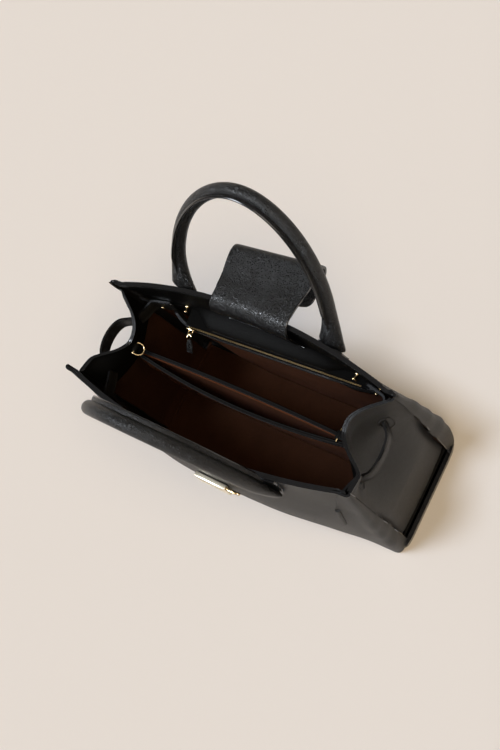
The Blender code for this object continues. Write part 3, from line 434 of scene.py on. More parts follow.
def panel_point(face, u, t, inset):
    """A point of the front or rear wall; u runs across the face and round its rolled corners."""
    half = half_width(t)
    a_edge = 1 - CORNER_ROLL_WIDTH / half
    side = 1 if u > 0 else -1
    puff_x, puff_y = ROLL_PUFF[face]
    full = arch(clamp(t) ** PUFF_LOWERING) ** PUFF_FULLNESS
    if abs(u) <= FLAT_SHARE:
        share = abs(u) / FLAT_SHARE
        x = share * a_edge * half
        run_in = ease((share - PUFF_FROM) / (1 - PUFF_FROM))
        y = face_depth(face, share * a_edge, t, side) - inset + puff_y * PUFF_ON_FACE * full * run_in
    else:
        turn = (abs(u) - FLAT_SHARE) / (1 - FLAT_SHARE)
        across, along = round_off(turn * math.pi / 2)
        depth = face_depth(face, a_edge, t, side) - seam_depth(t)
        lump = lumps(side * 3.0, face * 5.0, t * MIDDLE_HEIGHT * ROLL_LUMPS)
        puff = full * (1 + ROLL_LUMP_SHARE * lump)
        x = half - CORNER_ROLL_WIDTH + (CORNER_ROLL_WIDTH - inset) * across
        x += puff_x * puff * (arch(turn) ** PUFF_ROUNDNESS + ROLL_OPEN * turn**3)
        y = seam_depth(t) + (depth - inset) * along
        y += puff_y * mix(PUFF_ON_FACE * full, puff, ease(turn * 4)) * (1 - turn)
    return Vector((math.copysign(x, u), face * y, t * rim_height(min(a_edge, abs(x) / half))))


print("front wall at mid-height stands", round(wall_depth(FRONT, 0, 0.12, 0) * 1000, 1), "mm out")


# %% The gussets' surface
def gusset_depth(t):
    return seam_depth(t) + GUSSET_TUCK_SHARE * roll_depth(t)


def gusset_top(side, w):
    return CORNER_HEIGHT - GUSSET_DROP[side] - GUSSET_DIP * (1 - abs(w))


def gusset_point(side, w, z, inset):
    """A point of a side wall; w runs from -1 at the front seam to 1 at the rear one."""
    t = z / CORNER_HEIGHT
    pinch = PINCH_DEPTH * clamp((t - PINCH_FROM) / (PINCH_TO - PINCH_FROM)) ** PINCH_GROWTH
    wave = lumps(side * 5.0, w * 2.2, z * 20) * 0.0010 * (1 - w * w)
    x = half_width(t) - LEATHER - GUSSET_SEAT - inset + wave
    round_fold = 1 - abs(w) ** PINCH_POWER
    reach = min(abs(w - FOLD_SHIFT) / FOLD_WIDTH, 1.0)
    steep_fold = FOLD_GAIN * (1 - reach**2.2) ** 1.5
    x -= pinch * mix(round_fold, steep_fold, ease((z - FOLD_LOW) / FOLD_RISE))
    full = arch(min(t / GUSSET_FULL_TO, 1.0))
    groove = GUSSET_GROOVE * hill(1 - abs(w), GUSSET_GROOVE_WIDTH)
    x += full * (GUSSET_CROWN * (1 - abs(w) ** 3) - groove)
    x -= GUSSET_FOOT_TURN * (1 - ease((z - TRAY_HEIGHT) / GUSSET_FOOT_RISE))
    return Vector((side * x, w * gusset_depth(t), z))


print("right gusset's fold ends at", round(gusset_point(RIGHT, 0, 0.22, 0).x * 1000, 1), "mm")

# %% [markdown]
# ## A sheet of leather
# Most pieces here are sheets: a grid, bent onto a surface, with a thickness. The grid is extruded
# to get its back, both skins are placed by one function, and the rim is bevelled nearly
# half-round, as a cut edge is when it has been sanded and painted. The rim's faces get the
# second material, so the paint ends exactly where the leather's surface begins.

# %% Sheets
SLOT_WORDS = {"suede": "brown_suede", "tape": "black_tape", "gold": "gold_metal"}
BEND_ANGLE = 0.6


def finish(name, bm, finishes, stands_for=(), body="bag", slot=None, sharp=50):
    """Turn a bmesh into a piece that stands for some CAD nodes, which are hidden.

    A body given by name gets the piece as its child; a span of two bodies is not used, and the piece
    stays where it is. The frame's name for the finish is worked out from the material, unless slot
    is given, but nothing uses it.
    """
    found = [SLOT_WORDS[word] for word in SLOT_WORDS if word in finishes[0].name]
    slot = slot or [*found, "black_leather"][0]
    bmesh.ops.recalc_face_normals(bm, faces=bm.faces[:])
    mesh = bpy.data.meshes.new(name)
    bm.to_mesh(mesh)
    bm.free()
    mesh.shade_smooth()
    mesh.set_sharp_from_angle(angle=math.radians(sharp))
    for material in finishes:
        mesh.materials.append(material)
    piece = show(bpy.data.objects.new(name, mesh))
    if stands_for:
        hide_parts(*stands_for)
    if isinstance(body, str):
        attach(piece, body)
    else:
        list(body)
        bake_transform(piece)
    return piece


def round_edges(bm, edges, offset, segments):
    shape = {"offset": offset, "segments": segments, "profile": 0.5, "affect": "EDGES"}
    return bmesh.ops.bevel(bm, geom=edges, material=-1, clamp_overlap=True, **shape)["faces"]


def sheet(name, grid, skin, wall, finishes, stands_for=(), body="bag", slot=None, rounding=0.46, joined=None):
    """skin(u, v, depth) places the sheet: u from -1 to 1, v from 0 to 1, depth below its outside.

    joined is the v of an end where the leather goes on in another sheet.
    """
    bm = bmesh.new()
    bmesh.ops.create_grid(bm, x_segments=grid[0], y_segments=grid[1], size=1.0)
    back = set(bmesh.ops.extrude_face_region(bm, geom=bm.faces[:])["geom"])
    rim = set()
    for face in bm.faces:
        on_back = sum(vert in back for vert in face.verts)
        ends = joined is not None and all(abs((vert.co.y + 1) / 2 - joined) < 1e-4 for vert in face.verts)
        if 0 < on_back < len(face.verts) and not ends:
            rim.add(face)
    for vert in bm.verts:
        vert.co = skin(vert.co.x, (vert.co.y + 1) / 2, wall if vert in back else 0.0)
    edges = []
    for edge in bm.edges:
        if sum(face in rim for face in edge.link_faces) == 1 and edge.calc_face_angle(0.0) > BEND_ANGLE:
            edges.append(edge)
    for face in rim:
        face.material_index = len(finishes) - 1
    if rounding:
        for face in round_edges(bm, edges, wall * rounding, 3):
            face.material_index = len(finishes) - 1
    for vert in bm.verts:
        vert.co.z = max(vert.co.z, 0.0)
    return finish(name, bm, finishes, stands_for, body, slot)


print("sheets can be made")

# %% [markdown]
# ## Front and rear walls
# Each wall has an outer leather, a facing inside the mouth and a suede lining below it. The rear
# facing leaves the wall and comes forward to the zip, as an apron over the closed pocket.

# %% Walls
ZIP_DEPTH, ZIP_SLANT, ZIP_HEIGHT, ZIP_LEFT, ZIP_RIGHT = 0.0510, 0.050, 0.1755, -0.096, 0.110
APRON_TOP, APRON_LOW, APRON_LIFT = 0.1955, 0.1785, 0.0016
APRON_FULL_X, APRON_END_X, APRON_FULL_U, APRON_RUN_U = 0.066, 0.097, 0.42, 0.12
# At its left end the rear facing reaches lower than at its right, so that its black leather paints the shade
# that lies on the lining there.
FACING_END_START = {LEFT: 0.60, RIGHT: 0.686}
OVER_LINING, OVER_LINING_TOP, OVER_LINING_RUN = 0.0016, 0.187, 0.005


def wall_skin(face, reach, low, high, inset):
    return lambda u, v, depth: panel_point(face, u * reach, mix(low, high, v), inset + depth)


def rear_facing_skin(u, v, depth):
    middle = 1 - ease((abs(u) - APRON_FULL_U) / APRON_RUN_U)
    low = mix(FACING_END_START[RIGHT if u > 0 else LEFT], APRON_LOW / MIDDLE_HEIGHT, middle)
    place = panel_point(REAR, u * INNER_REACH, mix(low, 1.0, v), BEHIND_LEATHER + depth)
    forward = ease((APRON_TOP - place.z) / (APRON_TOP - APRON_LOW))
    forward *= 1 - ease((abs(place.x) - APRON_FULL_X) / (APRON_END_X - APRON_FULL_X))
    zip_y = ZIP_DEPTH + ZIP_SLANT * place.x + APRON_LIFT + FACING - depth
    over_lining = OVER_LINING * ease((OVER_LINING_TOP - place.z) / OVER_LINING_RUN)
    place.y = mix(place.y - over_lining, zip_y, forward)
    return place


facing_skins = {
    FRONT: wall_skin(FRONT, INNER_REACH, FACING_START, 1.0, BEHIND_LEATHER),
    REAR: rear_facing_skin,
}
lining_low, lining_high = TRAY_HEIGHT / CORNER_HEIGHT + 0.002, FACING_START - 0.001
for face in (FRONT, REAR):
    name = FACE_NAME[face]
    outside = wall_skin(face, 1.0, 0.0, 1.0, 0.0)
    sheet(f"{name}_panel_leather", (128, 56), outside, LEATHER, painted, [f"{name}_panel"])
    facing = facing_skins[face]
    sheet(f"{name}_facing_leather", (128, 40), facing, FACING, painted_inside, [f"{name}_facing"])
    lining = wall_skin(face, INNER_REACH, lining_low, lining_high, BEHIND_LEATHER + GAP)
    sheet(f"{name}_lining_suede", (96, 40), lining, LINING, (brown_suede,), [f"{name}_lining"])
    print(name, "wall: leather, facing and suede")

# %% [markdown]
# ## Gussets
# The side walls fold inward near the top, so that the mouth can close. Each has the same three
# layers as the walls, and the strap passes through two slots in it. The slots are cut by an
# object that follows the strap, with a Boolean modifier that is applied at once.


# %% Gusset layers
def gusset_skin(side, reach, low, high, inset):
    """high is a height, or None for the gusset's curved top."""

    def skin(u, v, depth):
        w = u * reach
        top = gusset_top(side, w) if high is None else high
        return gusset_point(side, w, mix(low, top, v), inset + depth)

    return skin


gusset_pieces = {}
for side in (LEFT, RIGHT):
    name = f"{SIDE_NAME[side]}_gusset"
    foot, split, reach = TRAY_HEIGHT + GAP, GUSSET_FACING_START, GUSSET_INNER_REACH
    skin = gusset_skin(side, 1.0, foot, None, 0.0)
    outside = sheet(f"{name}_leather", (40, 72), skin, LEATHER, painted, [name])
    skin = gusset_skin(side, reach, split, None, BEHIND_LEATHER)
    facing = sheet(f"{name}_facing_leather", (36, 20), skin, FACING, painted_inside, [f"{name}_facing"])
    skin = gusset_skin(side, reach, foot, split - GAP, BEHIND_LEATHER)
    sheet(f"{name}_lining_suede", (36, 44), skin, LINING, (brown_suede,), [f"{name}_lining"])
    gusset_pieces[side] = (outside, facing)
    print(name, "leather, facing and suede")

# %% [markdown]
# Rings, welts and seams are round wires. A curve sweeps a small circle along a path, and its mesh
# is kept, so that the piece can be smoothed and given its finish as the others are.


# %% Wires
def wire(name, points, radius, material, stands_for=(), body="bag", closed=False, sides=6):
    """A round wire along a path, made from a curve and kept as a mesh."""
    curve = bpy.data.curves.new(name, "CURVE")
    curve.dimensions = "3D"
    curve.bevel_depth = radius
    curve.bevel_resolution = sides
    curve.use_fill_caps = True
    spline = curve.splines.new("POLY")
    spline.points.add(len(points) - 1)
    for point, place in zip(spline.points, points):
        point.co = (*place, 1.0)
    spline.use_cyclic_u = closed
    holder = show(bpy.data.objects.new(name, curve))
    bm = bmesh.new()
    bm.from_mesh(holder.to_mesh())
    holder.to_mesh_clear()
    bpy.data.objects.remove(holder)
    bpy.data.curves.remove(curve)
    bmesh.ops.remove_doubles(bm, verts=bm.verts[:], dist=1e-6)
    for face in bm.faces:
        face.material_index = 0
    return finish(name, bm, (material,), stands_for, body)


print("wires can be swept")

# %% [markdown]
# ## Base
# The bag stands on a tray of turned leather, seen as a dark band under each gusset. A stiff board
# and a suede floor lie in it. The frame's solids have the right shape, so a merged copy of each
# gets its edges rounded and the matching finish. A rounded strip covers the foot of each gusset;
# its black edge paint, darker than the leather, is in part painted shade under the gusset.

# %% Base
BAND_LOW, BAND_HEIGHT, BAND_HALF_DEPTH, BAND_STAND, BAND_WALL = 0.0004, 0.0108, 0.0610, 0.0074, 0.0048
BAND_CROWN, BAND_TURN_IN, BAND_TURN_POWER = 0.0016, 0.0025, 12
FLOOR_SEAM_RADIUS, FLOOR_SEAM_HALF_LENGTH = 0.0021, 0.064
FLAT_ANGLE, SHARP_ANGLE = math.radians(1), math.radians(35)


def dressed_copy(node, suffix, material, bevel, body="bag", slot=None):
    """A merged copy of a CAD node, with its sharp edges rounded."""
    bm = bmesh.new()
    bm.from_mesh(frame["nodes"][node].data)
    bmesh.ops.remove_doubles(bm, verts=bm.verts[:], dist=1e-6)
    bmesh.ops.dissolve_limit(bm, angle_limit=FLAT_ANGLE, verts=bm.verts[:], edges=bm.edges[:])
    for face in bm.faces:
        face.material_index = 0
    if bevel:
        sharp = [edge for edge in bm.edges if edge.is_manifold and edge.calc_face_angle(0.0) > SHARP_ANGLE]
        round_edges(bm, sharp, bevel, 2)
    return finish(f"{node}_{suffix}", bm, (material,), [node], body, slot)


dressed_copy("base_panel", "leather", inner_leather, 0.0012)
dressed_copy("base_lining", "suede", brown_suede, 0.0003)
dressed_copy("base_board", "core", black_tape, 0.0003, slot="grey_board")
floor_right, _, floor_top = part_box("base_lining")[1]
for side in (LEFT, RIGHT):

    def band_skin(u, v, depth):
        """The strip is crowned, and its ends turn in under the rolls."""
        crown = BAND_STAND - BAND_CROWN * (2 * v - 1) ** 4 - BAND_TURN_IN * abs(u) ** BAND_TURN_POWER
        x = half_width(0.0) - LEATHER - GUSSET_SEAT + crown - depth
        return Vector((side * x, u * BAND_HALF_DEPTH, mix(BAND_LOW, BAND_HEIGHT, v)))

    name = SIDE_NAME[side]
    # The band's black edge paint, darker than the leather, paints in part the shade under the gusset.
    sheet(f"{name}_base_band_leather", (48, 4), band_skin, BAND_WALL, (black_paint,))
    seam_x, seam_z = side * (floor_right + 0.0004), floor_top + 0.0006
    seam = [Vector((seam_x, y, seam_z)) for y in steps(24, -FLOOR_SEAM_HALF_LENGTH, FLOOR_SEAM_HALF_LENGTH)]
    wire(f"{name}_floor_seam_suede", seam, FLOOR_SEAM_RADIUS, brown_suede)
print("base dressed, with its bands and seams")

# %% [markdown]
# ## Divider pocket
# A flat pocket hangs between the gussets. Its two suede sides each end in a leather band, made of
# two layers with polished edges. The front side bows forward, so the pocket's mouth is open.

# %% Divider
DIVIDER_TOP, DIVIDER_BOTTOM = 0.186, 0.016
DIVIDER_BOWS = {"rear": (1, 0.003), "front": (-1, 0.0118)}
DIVIDER_WALL, DIVIDER_BAND_WALL, DIVIDER_BAND_HEIGHT, BAND_SEAM = 0.0018, 0.0032, 0.012, 0.0004
DIVIDER_END_GAP = 0.0008


def divider_point(u, z, sign, bow, off):
    open_share = ease((z - DIVIDER_BOTTOM) / (DIVIDER_TOP - DIVIDER_BOTTOM))
    y = sign * (GAP / 2 + off + bow * (1 - u * u) * open_share)
    half = gusset_point(RIGHT, 0.0, z, BEHIND_FACING + GAP).x - DIVIDER_END_GAP
    return Vector((u * half, y, z))


def divider_skin(low, high, sign, bow, off):
    return lambda u, v, depth: divider_point(u, mix(low, high, v), sign, bow, off - depth)


lip = DIVIDER_TOP - DIVIDER_BAND_HEIGHT
layer = (DIVIDER_BAND_WALL - BAND_SEAM) / 2
for name, (sign, bow) in DIVIDER_BOWS.items():
    name = f"divider_{name}"
    skin = divider_skin(DIVIDER_BOTTOM, lip - GAP, sign, bow, DIVIDER_WALL)
    # The divider's suede is the lighter copy, which paints in the light on its sides.
    sheet(f"{name}_suede", (80, 40), skin, DIVIDER_WALL, (painted_lit_suede,), [f"{name}_panel"])
    for where, below, stands_for in (("outer", 0.0, [f"{name}_band"]), ("inner", layer + BAND_SEAM, [])):
        skin = divider_skin(lip, DIVIDER_TOP, sign, bow, DIVIDER_BAND_WALL - below)
        sheet(f"{name}_{where}_band_leather", (96, 6), skin, layer, painted, stands_for)
print("divider: two sides with bands")

# %% [markdown]
# ## Zipped pocket
# The rear half holds a pocket closed by a zip. Its suede front is bound with leather at the lip,
# with a wider leather patch under the zip's end.

# %% Pocket front
POCKET_HALF_LENGTH, POCKET_FOOT_DEPTH, POCKET_BOTTOM = 0.124, 0.058, 0.014
POCKET_WALL, POCKET_END_POWER, POCKET_SAG = 0.0012, 8, 0.0012
BINDING_TOP, BINDING_HEIGHT, BINDING_WALL = 0.1715, 0.011, 0.003
BINDING_FOOT = BINDING_TOP - BINDING_HEIGHT
PATCH_LEFT, PATCH_SLANT, PATCH_HEIGHT, PATCH_WALL = 0.66, 0.08, 0.014, 0.0014


def pocket_point(share, z, off):
    """share runs from -1 at the pocket's left end to 1 at its right end."""
    x = share * POCKET_HALF_LENGTH
    down = (BINDING_TOP - z) / (BINDING_TOP - POCKET_BOTTOM)
    front = mix(ZIP_DEPTH + ZIP_SLANT * x, POCKET_FOOT_DEPTH, down)
    sag = POCKET_SAG * lumps(x * 22, 4.0, z * 26) * ease(down * 4)
    wall = wall_depth(REAR, x, z, LEATHER + 3 * GAP + LINING)
    end = min(abs(x) / POCKET_HALF_LENGTH, 1.0) ** POCKET_END_POWER
    return Vector((x, mix(front + sag, max(wall, front), end) - off, z))


def pocket_skin(low, high, lift):
    return lambda u, v, depth: pocket_point(u, mix(low, high, v), lift - depth)


def patch_skin(u, v, depth):
    """The patch under the zip's end, with a slanted left edge."""
    share = (u + 1) / 2
    across = mix(PATCH_LEFT + PATCH_SLANT * (1 - v) * (1 - share), 1.0, share)
    z = mix(BINDING_FOOT - PATCH_HEIGHT, BINDING_FOOT - GAP, v)
    return pocket_point(across, z, POCKET_WALL + GAP + PATCH_WALL - depth)


skin = pocket_skin(POCKET_BOTTOM, BINDING_FOOT - GAP, POCKET_WALL)
# The pocket's suede is the lighter copy, which paints in the light on its front.
sheet("pocket_front_suede", (100, 48), skin, POCKET_WALL, (painted_lit_suede,), ["pocket_panel"])
skin = pocket_skin(BINDING_FOOT, BINDING_TOP, BINDING_WALL)
sheet("pocket_binding_leather", (100, 8), skin, BINDING_WALL, painted, ["pocket_binding"])
sheet("pocket_end_patch_leather", (24, 8), patch_skin, PATCH_WALL, painted)
print("pocket front, binding and patch")

# %% [markdown]
# The zip runs at a slight slant, so it gets its own frame of axes, and its teeth are moved there.
# They are real ones: two rows of small rounded blocks that sit half a step apart.

# %% Zip
zip_place = Matrix.Translation((0, ZIP_DEPTH, 0)) @ Matrix.Rotation(math.atan(ZIP_SLANT), 4, "Z")
TOOTH_PITCH, TOOTH_SIZE, TOOTH_STAGGER, TOOTH_ROUNDING = 0.0026, (0.0009, 0.0016, 0.0017), 0.00045, 0.0002
TEETH_DEPTH, TAPE, TAPE_RISE, TAPE_CLEAR = 0.0022, 0.0008, 0.0045, 0.0012
TAPE_LEFT, TAPE_RIGHT = ZIP_LEFT - 0.003, ZIP_RIGHT + 0.004


def tape_skin(low, high, front_y, lies_back):
    """A strip of tape between two heights. One that lies back reaches to the rear wall."""

    def skin(u, v, depth):
        place = zip_place @ Vector((mix(TAPE_LEFT, TAPE_RIGHT, (u + 1) / 2), front_y, mix(low, high, v)))
        if not lies_back:
            return place + Vector((0, depth, 0))
        back = wall_depth(REAR, place.x, place.z, BEHIND_FACING + GAP + TAPE)
        return Vector((place.x, mix(place.y, back, v), place.z + TAPE / 2 - depth))

    return skin


bm = bmesh.new()
for index in range(int((ZIP_RIGHT - ZIP_LEFT) / TOOTH_PITCH * 2)):
    x = ZIP_LEFT + (index + 0.5) * TOOTH_PITCH / 2
    side = 1 if index % 2 else -1
    place = Matrix.Translation((x, -TEETH_DEPTH / 2, ZIP_HEIGHT + side * TOOTH_STAGGER))
    block = bmesh.ops.create_cube(bm, size=1.0, matrix=place @ Matrix.Diagonal((*TOOTH_SIZE, 1.0)))
    edges = {edge for vert in block["verts"] for edge in vert.link_edges}
    round_edges(bm, list(edges), TOOTH_ROUNDING, 1)
bmesh.ops.transform(bm, matrix=zip_place, verts=bm.verts[:])
finish("zip_teeth_gold", bm, (antique_gold,), ["zipper_teeth"], sharp=30)
skin = tape_skin(BINDING_TOP - 0.002, ZIP_HEIGHT - TAPE_CLEAR, -0.0019, False)
sheet("zip_lower_tape_fabric", (60, 4), skin, TAPE, (black_tape,), ["zipper_lower_tape"])
skin = tape_skin(ZIP_HEIGHT + TAPE_CLEAR, ZIP_HEIGHT + TAPE_RISE, 0.0002, True)
sheet("zip_upper_tape_fabric", (60, 8), skin, TAPE, (black_tape,), ["zipper_upper_tape"])
print("zip teeth and tapes")

# %% [markdown]
# ## Gold fittings
# The lock and the zip's slider are hard parts whose shape is already right. A merged copy with
# slightly rounded edges catches thin highlights, as polished metal does. The studs are made as on
# a lathe: a profile of radius and height is spun about its axis.

# %% Fittings from the frame
FITTING_ROUNDING = 0.00025
dressed_copy("lock_plate", "gold", brushed_gold, FITTING_ROUNDING)
dressed_copy("lock_washer", "gold", polished_gold, FITTING_ROUNDING)
dressed_copy("flap_catch", "gold", polished_gold, FITTING_ROUNDING, "flap_end")
dressed_copy("zipper_slider", "gold", polished_gold, FITTING_ROUNDING, "zip_slider")
print("plates and slider dressed")

# %% Studs
STRAP_TOP, STRAP_WIDTH, STRAP_WALL = 0.191, 0.015, 0.0022
STRAP_MIDDLE = STRAP_TOP - STRAP_WIDTH / 2
STUD_X = {"fastened": 0.131, "spare": 0.103}
STUD_BASE_HEIGHT, STUD_SIDES, SEAT_STEP = 0.0012, 32, 0.002
STUD_PROFILE = (
    *((0.0, 0.0), (0.0030, 0.0), (0.0030, 0.0008), (0.0027, 0.0012), (0.0013, 0.0012), (0.0012, 0.0040)),
    *((0.0016, 0.0046), (0.0022, 0.0050), (0.0026, 0.0058), (0.0025, 0.0064), (0.0019, 0.0070)),
    *((0.0010, 0.00718), (0.0, 0.0072)),
)


def rear_seat(x, z, inset):
    """Axes seated on the rear wall: Z points into the bag and X runs along the width."""
    here = Vector((x, wall_depth(REAR, x, z, inset), z))
    along = Vector((x + SEAT_STEP, wall_depth(REAR, x + SEAT_STEP, z, inset), z)) - here
    up = Vector((x, wall_depth(REAR, x, z + SEAT_STEP, inset), z + SEAT_STEP)) - here
    out = up.cross(along).normalized()
    along = (along - out * along.dot(out)).normalized()
    turn = Matrix((along, out.cross(along), out)).transposed().to_4x4()
    return Matrix.Translation(here) @ turn @ Matrix.Rotation(math.pi, 4, "X")


def stud(node, place):
    bm = bmesh.new()
    points = [bm.verts.new((radius, 0.0, height)) for radius, height in STUD_PROFILE]
    edges = [bm.edges.new(pair) for pair in zip(points, points[1:])]
    turn = {"cent": (0, 0, 0), "axis": (0, 0, 1), "angle": math.tau, "steps": STUD_SIDES}
    bmesh.ops.spin(bm, geom=points + edges, use_merge=True, **turn)
    bmesh.ops.remove_doubles(bm, verts=bm.verts[:], dist=1e-6)
    bmesh.ops.transform(bm, matrix=place, verts=bm.verts[:])
    finish(f"{node}_gold", bm, (polished_gold,), [node], sharp=40)


for side in (LEFT, RIGHT):
    for kind, x in STUD_X.items():
        stud(f"{SIDE_NAME[side]}_{kind}_stud", rear_seat(side * x, STRAP_MIDDLE, BEHIND_FACING + GAP))
print("four studs")

# %% [markdown]
# ## Side straps
# A strap starts under a stud inside the rear wall, leaves through a slot in the gusset, runs
# across outside and comes back in through the front slot. Its path is a smooth curve through a
# few points, and the same path, a little thicker, cuts the slots.

# %% Straps
STRAP_END_X, STRAP_TURN_X, STRAP_PLAY, STRAP_SLOT_SHARE = 0.117, 0.138, 0.0008, 0.62
STRAP_LEAD_IN, STRAP_LEAD_OUT = (0.35, 0.15), (0.78, 0.62)
STRAP_STAND = {LEFT: 0.006, RIGHT: -0.005}
STRAP_STEPS, STRAP_TIP_STEPS, STRAP_TIP_SHARE, SLOT_CLEARANCE = 8, 5, 0.62, 0.0005


def smooth_path(points, count):
    """A Catmull-Rom curve through the points."""
    padded = [2 * points[0] - points[1], *points, 2 * points[-1] - points[-2]]
    path = []
    for a, b, c, d in zip(padded, padded[1:], padded[2:], padded[3:]):
        for s in steps(count)[:-1]:
            square, cube = 2 * a - 5 * b + 4 * c - d, 3 * b - a - 3 * c + d
            path.append(0.5 * (2 * b + (c - a) * s + square * s**2 + cube * s**3))
    return path + [points[-1]]


def strap_arm(side, face, inset, middle):
    """From the strap's end inside a wall, through the slot, almost to the middle outside."""
    points = []
    for x in (STRAP_END_X, (STRAP_END_X + STUD_X["fastened"]) / 2, STUD_X["fastened"], STRAP_TURN_X):
        heights = (STRAP_TOP - STRAP_WIDTH, STRAP_TOP)
        depth = min(wall_depth(face, side * x, z, inset + STRAP_WALL / 2) for z in heights)
        points.append(Vector((side * x, face * depth)))
    turn = points[-1]
    slot = gusset_point(side, face * STRAP_SLOT_SHARE, STRAP_MIDDLE, LEATHER).xy
    lead_in = Vector((mix(turn.x, slot.x, STRAP_LEAD_IN[0]), mix(turn.y, slot.y, STRAP_LEAD_IN[1])))
    lead_out = Vector((mix(slot.x, middle, STRAP_LEAD_OUT[0]), slot.y * STRAP_LEAD_OUT[1]))
    return [*points, lead_in, slot, lead_out]


def strap_path(side):
    middle = side * (half_width(STRAP_MIDDLE / CORNER_HEIGHT) + STRAP_STAND[side])
    rear = strap_arm(side, REAR, BEHIND_FACING + 2 * GAP + STUD_BASE_HEIGHT, middle)
    front = strap_arm(side, FRONT, BEHIND_FACING + STRAP_PLAY, middle)
    return smooth_path(rear + [Vector((middle, 0.0))] + front[::-1], STRAP_STEPS)


def strap_skin(side, extra):
    path = strap_path(side)
    last = len(path) - 1

    def skin(u, v, depth):
        index = round((u + 1) / 2 * last)
        along = (path[min(index + 1, last)] - path[max(index - 1, 0)]).normalized()
        place = path[index] + Vector((-along.y, along.x)) * (STRAP_WALL / 2 + extra - depth)
        tip = min(min(index, last - index) / STRAP_TIP_STEPS, 1.0)
        narrow = mix(STRAP_TIP_SHARE, 1.0, math.sqrt(1 - (1 - tip) ** 2))
        return Vector((*place, STRAP_MIDDLE + (v - 0.5) * (STRAP_WIDTH + 2 * extra) * narrow))

    return skin, last


def cut_slots(piece, cutter):
    """Cut a piece by the cutter, with the first solver that leaves new faces."""
    before = len(piece.data.polygons)
    change = piece.modifiers.new("slots", "BOOLEAN")
    change.operation = "DIFFERENCE"
    change.object = cutter
    for solver in ("MANIFOLD", "EXACT"):
        change.solver = solver
        bpy.context.view_layer.update()
        evaluated = piece.evaluated_get(bpy.context.evaluated_depsgraph_get())
        cut_mesh = bpy.data.meshes.new_from_object(evaluated)
        if len(cut_mesh.polygons) > before:
            break
    print(piece.name, "has", before, "faces before its slots,", len(cut_mesh.polygons), "after, by", solver)
    piece.modifiers.remove(change)
    piece.data = cut_mesh


for side in (LEFT, RIGHT):
    name = SIDE_NAME[side]
    skin, last = strap_skin(side, 0.0)
    sheet(f"{name}_strap_leather", (last, 6), skin, STRAP_WALL, painted, [f"{name}_side_strap"])
    skin, last = strap_skin(side, SLOT_CLEARANCE)
    thick = STRAP_WALL + 2 * SLOT_CLEARANCE
    cutter = sheet(f"{name}_slot_cutter", (last, 1), skin, thick, (black_paint,), rounding=0)
    for piece in gusset_pieces[side]:
        cut_slots(piece, cutter)
    bpy.data.objects.remove(cutter)
print("straps in their slots")

# %% [markdown]
# A thin welt lies round each slot, on the outside of the gusset. Its path is a rounded rectangle,
# drawn a quarter at a time.

# %% Welts round the slots
FRAME_HALF_LENGTH, FRAME_MARGIN, FRAME_RADIUS, FRAME_STEPS = 0.0048, 0.0030, 0.0008, 10


def slot_frame(side, face):
    points = []
    for quarter in range(4):
        for share in steps(FRAME_STEPS)[:-1]:
            across, along = round_off(share * math.pi / 2)
            wide, high = ((along, across), (-across, along), (-along, -across), (across, -along))[quarter]
            z = STRAP_MIDDLE + high * (STRAP_WIDTH / 2 + FRAME_MARGIN)
            w = face * STRAP_SLOT_SHARE + wide * FRAME_HALF_LENGTH / gusset_depth(z / CORNER_HEIGHT)
            points.append(gusset_point(side, w, z, 0.0))
    return points


for side in (LEFT, RIGHT):
    for face in (FRONT, REAR):
        name = f"{SIDE_NAME[side]}_{FACE_NAME[face]}_slot_frame_leather"
        wire(name, slot_frame(side, face), FRAME_RADIUS, body_leather, closed=True, sides=3)
print("four welts")

# %% [markdown]
# ## Rings
# A ring for a shoulder strap hangs in a small leather loop at each gusset's fold. Its straight
# side lies in the loop, and the wire bends round into a D.

# %% Rings
RING_WIRE, RING_HALF_WIDTH, RING_STRAIGHT_SHARE, RING_STEPS = 0.00095, 0.0062, 0.6, 28
RING_ANGLE = {LEFT: math.radians(27), RIGHT: math.radians(80)}

for side in (LEFT, RIGHT):
    name = SIDE_NAME[side]
    pivot = hinge_place(f"{name}_ring_hinge")
    hang = Vector((-side * math.cos(RING_ANGLE[side]), 0, -math.sin(RING_ANGLE[side])))
    ring = [pivot + Vector((0, share * RING_HALF_WIDTH, 0)) for share in (-1, -0.5, 0, 0.5, 1)]
    for share in steps(RING_STEPS):
        turn = share * math.pi
        reach = hang * RING_HALF_WIDTH * (RING_STRAIGHT_SHARE + math.sin(turn))
        ring.append(pivot + Vector((0, RING_HALF_WIDTH * math.cos(turn), 0)) + reach)
    wire(f"{name}_ring_gold", ring, RING_WIRE, ring_gold, [f"{name}_d_ring"], f"{name}_ring", closed=True)
    dressed_copy(f"{name}_ring_loop", "leather", inner_leather, 0.0003)
print("rings in their loops")

# %% [markdown]
# ## Handles
# A handle is a cord core wrapped in leather. The wrap's two edges meet on the side towards the bag
# and are sewn into a thin flange with a painted edge. At each end the roll widens and flattens
# onto the wall. It is one loft: a section that changes along a path.

# %% Handle sizes
HANDLE_HALF_SPAN, HANDLE_SHOULDER, HANDLE_SWELL, HANDLE_SWELL_AT = 0.087, 0.0436, 0.0042, 0.6
HANDLE_HEIGHT, HANDLE_RADIUS, HANDLE_FLANGE, FLANGE_HALF = 0.146, 0.0069, 0.0050, 0.0013
FLANGE_CREST = HANDLE_RADIUS + HANDLE_FLANGE - FLANGE_HALF
HANDLE_FOOT_HALF_WIDTH, HANDLE_FOOT_THICKNESS = {FRONT: 0.0124, REAR: 0.0132}, 0.012
HANDLE_FLARE_LENGTH, HANDLE_FLARE_POWER, FLANGE_START = 0.045, 1.6, 1.5
HANDLE_LEAN = {FRONT: math.radians(1.8), REAR: math.radians(27.1)}
HANDLE_SWAY = {FRONT: -0.042, REAR: 0.0355}
LOBE_LENGTH, LOBE_SWELL = {FRONT: 0.0075, REAR: 0.020}, {FRONT: -0.0018, REAR: 0.0}
LOBE_TIP_THICKNESS, LOBE_TIP_WIDTH, LOBE_ROUND_TO = 0.00255, 0.92, 0.45
LOBE_STAND = (0.0012, 0.0008)
BODY_STATIONS, LOBE_STATIONS, ROUND_POINTS = 120, 14, 40
BLEND_HALF = 0.010


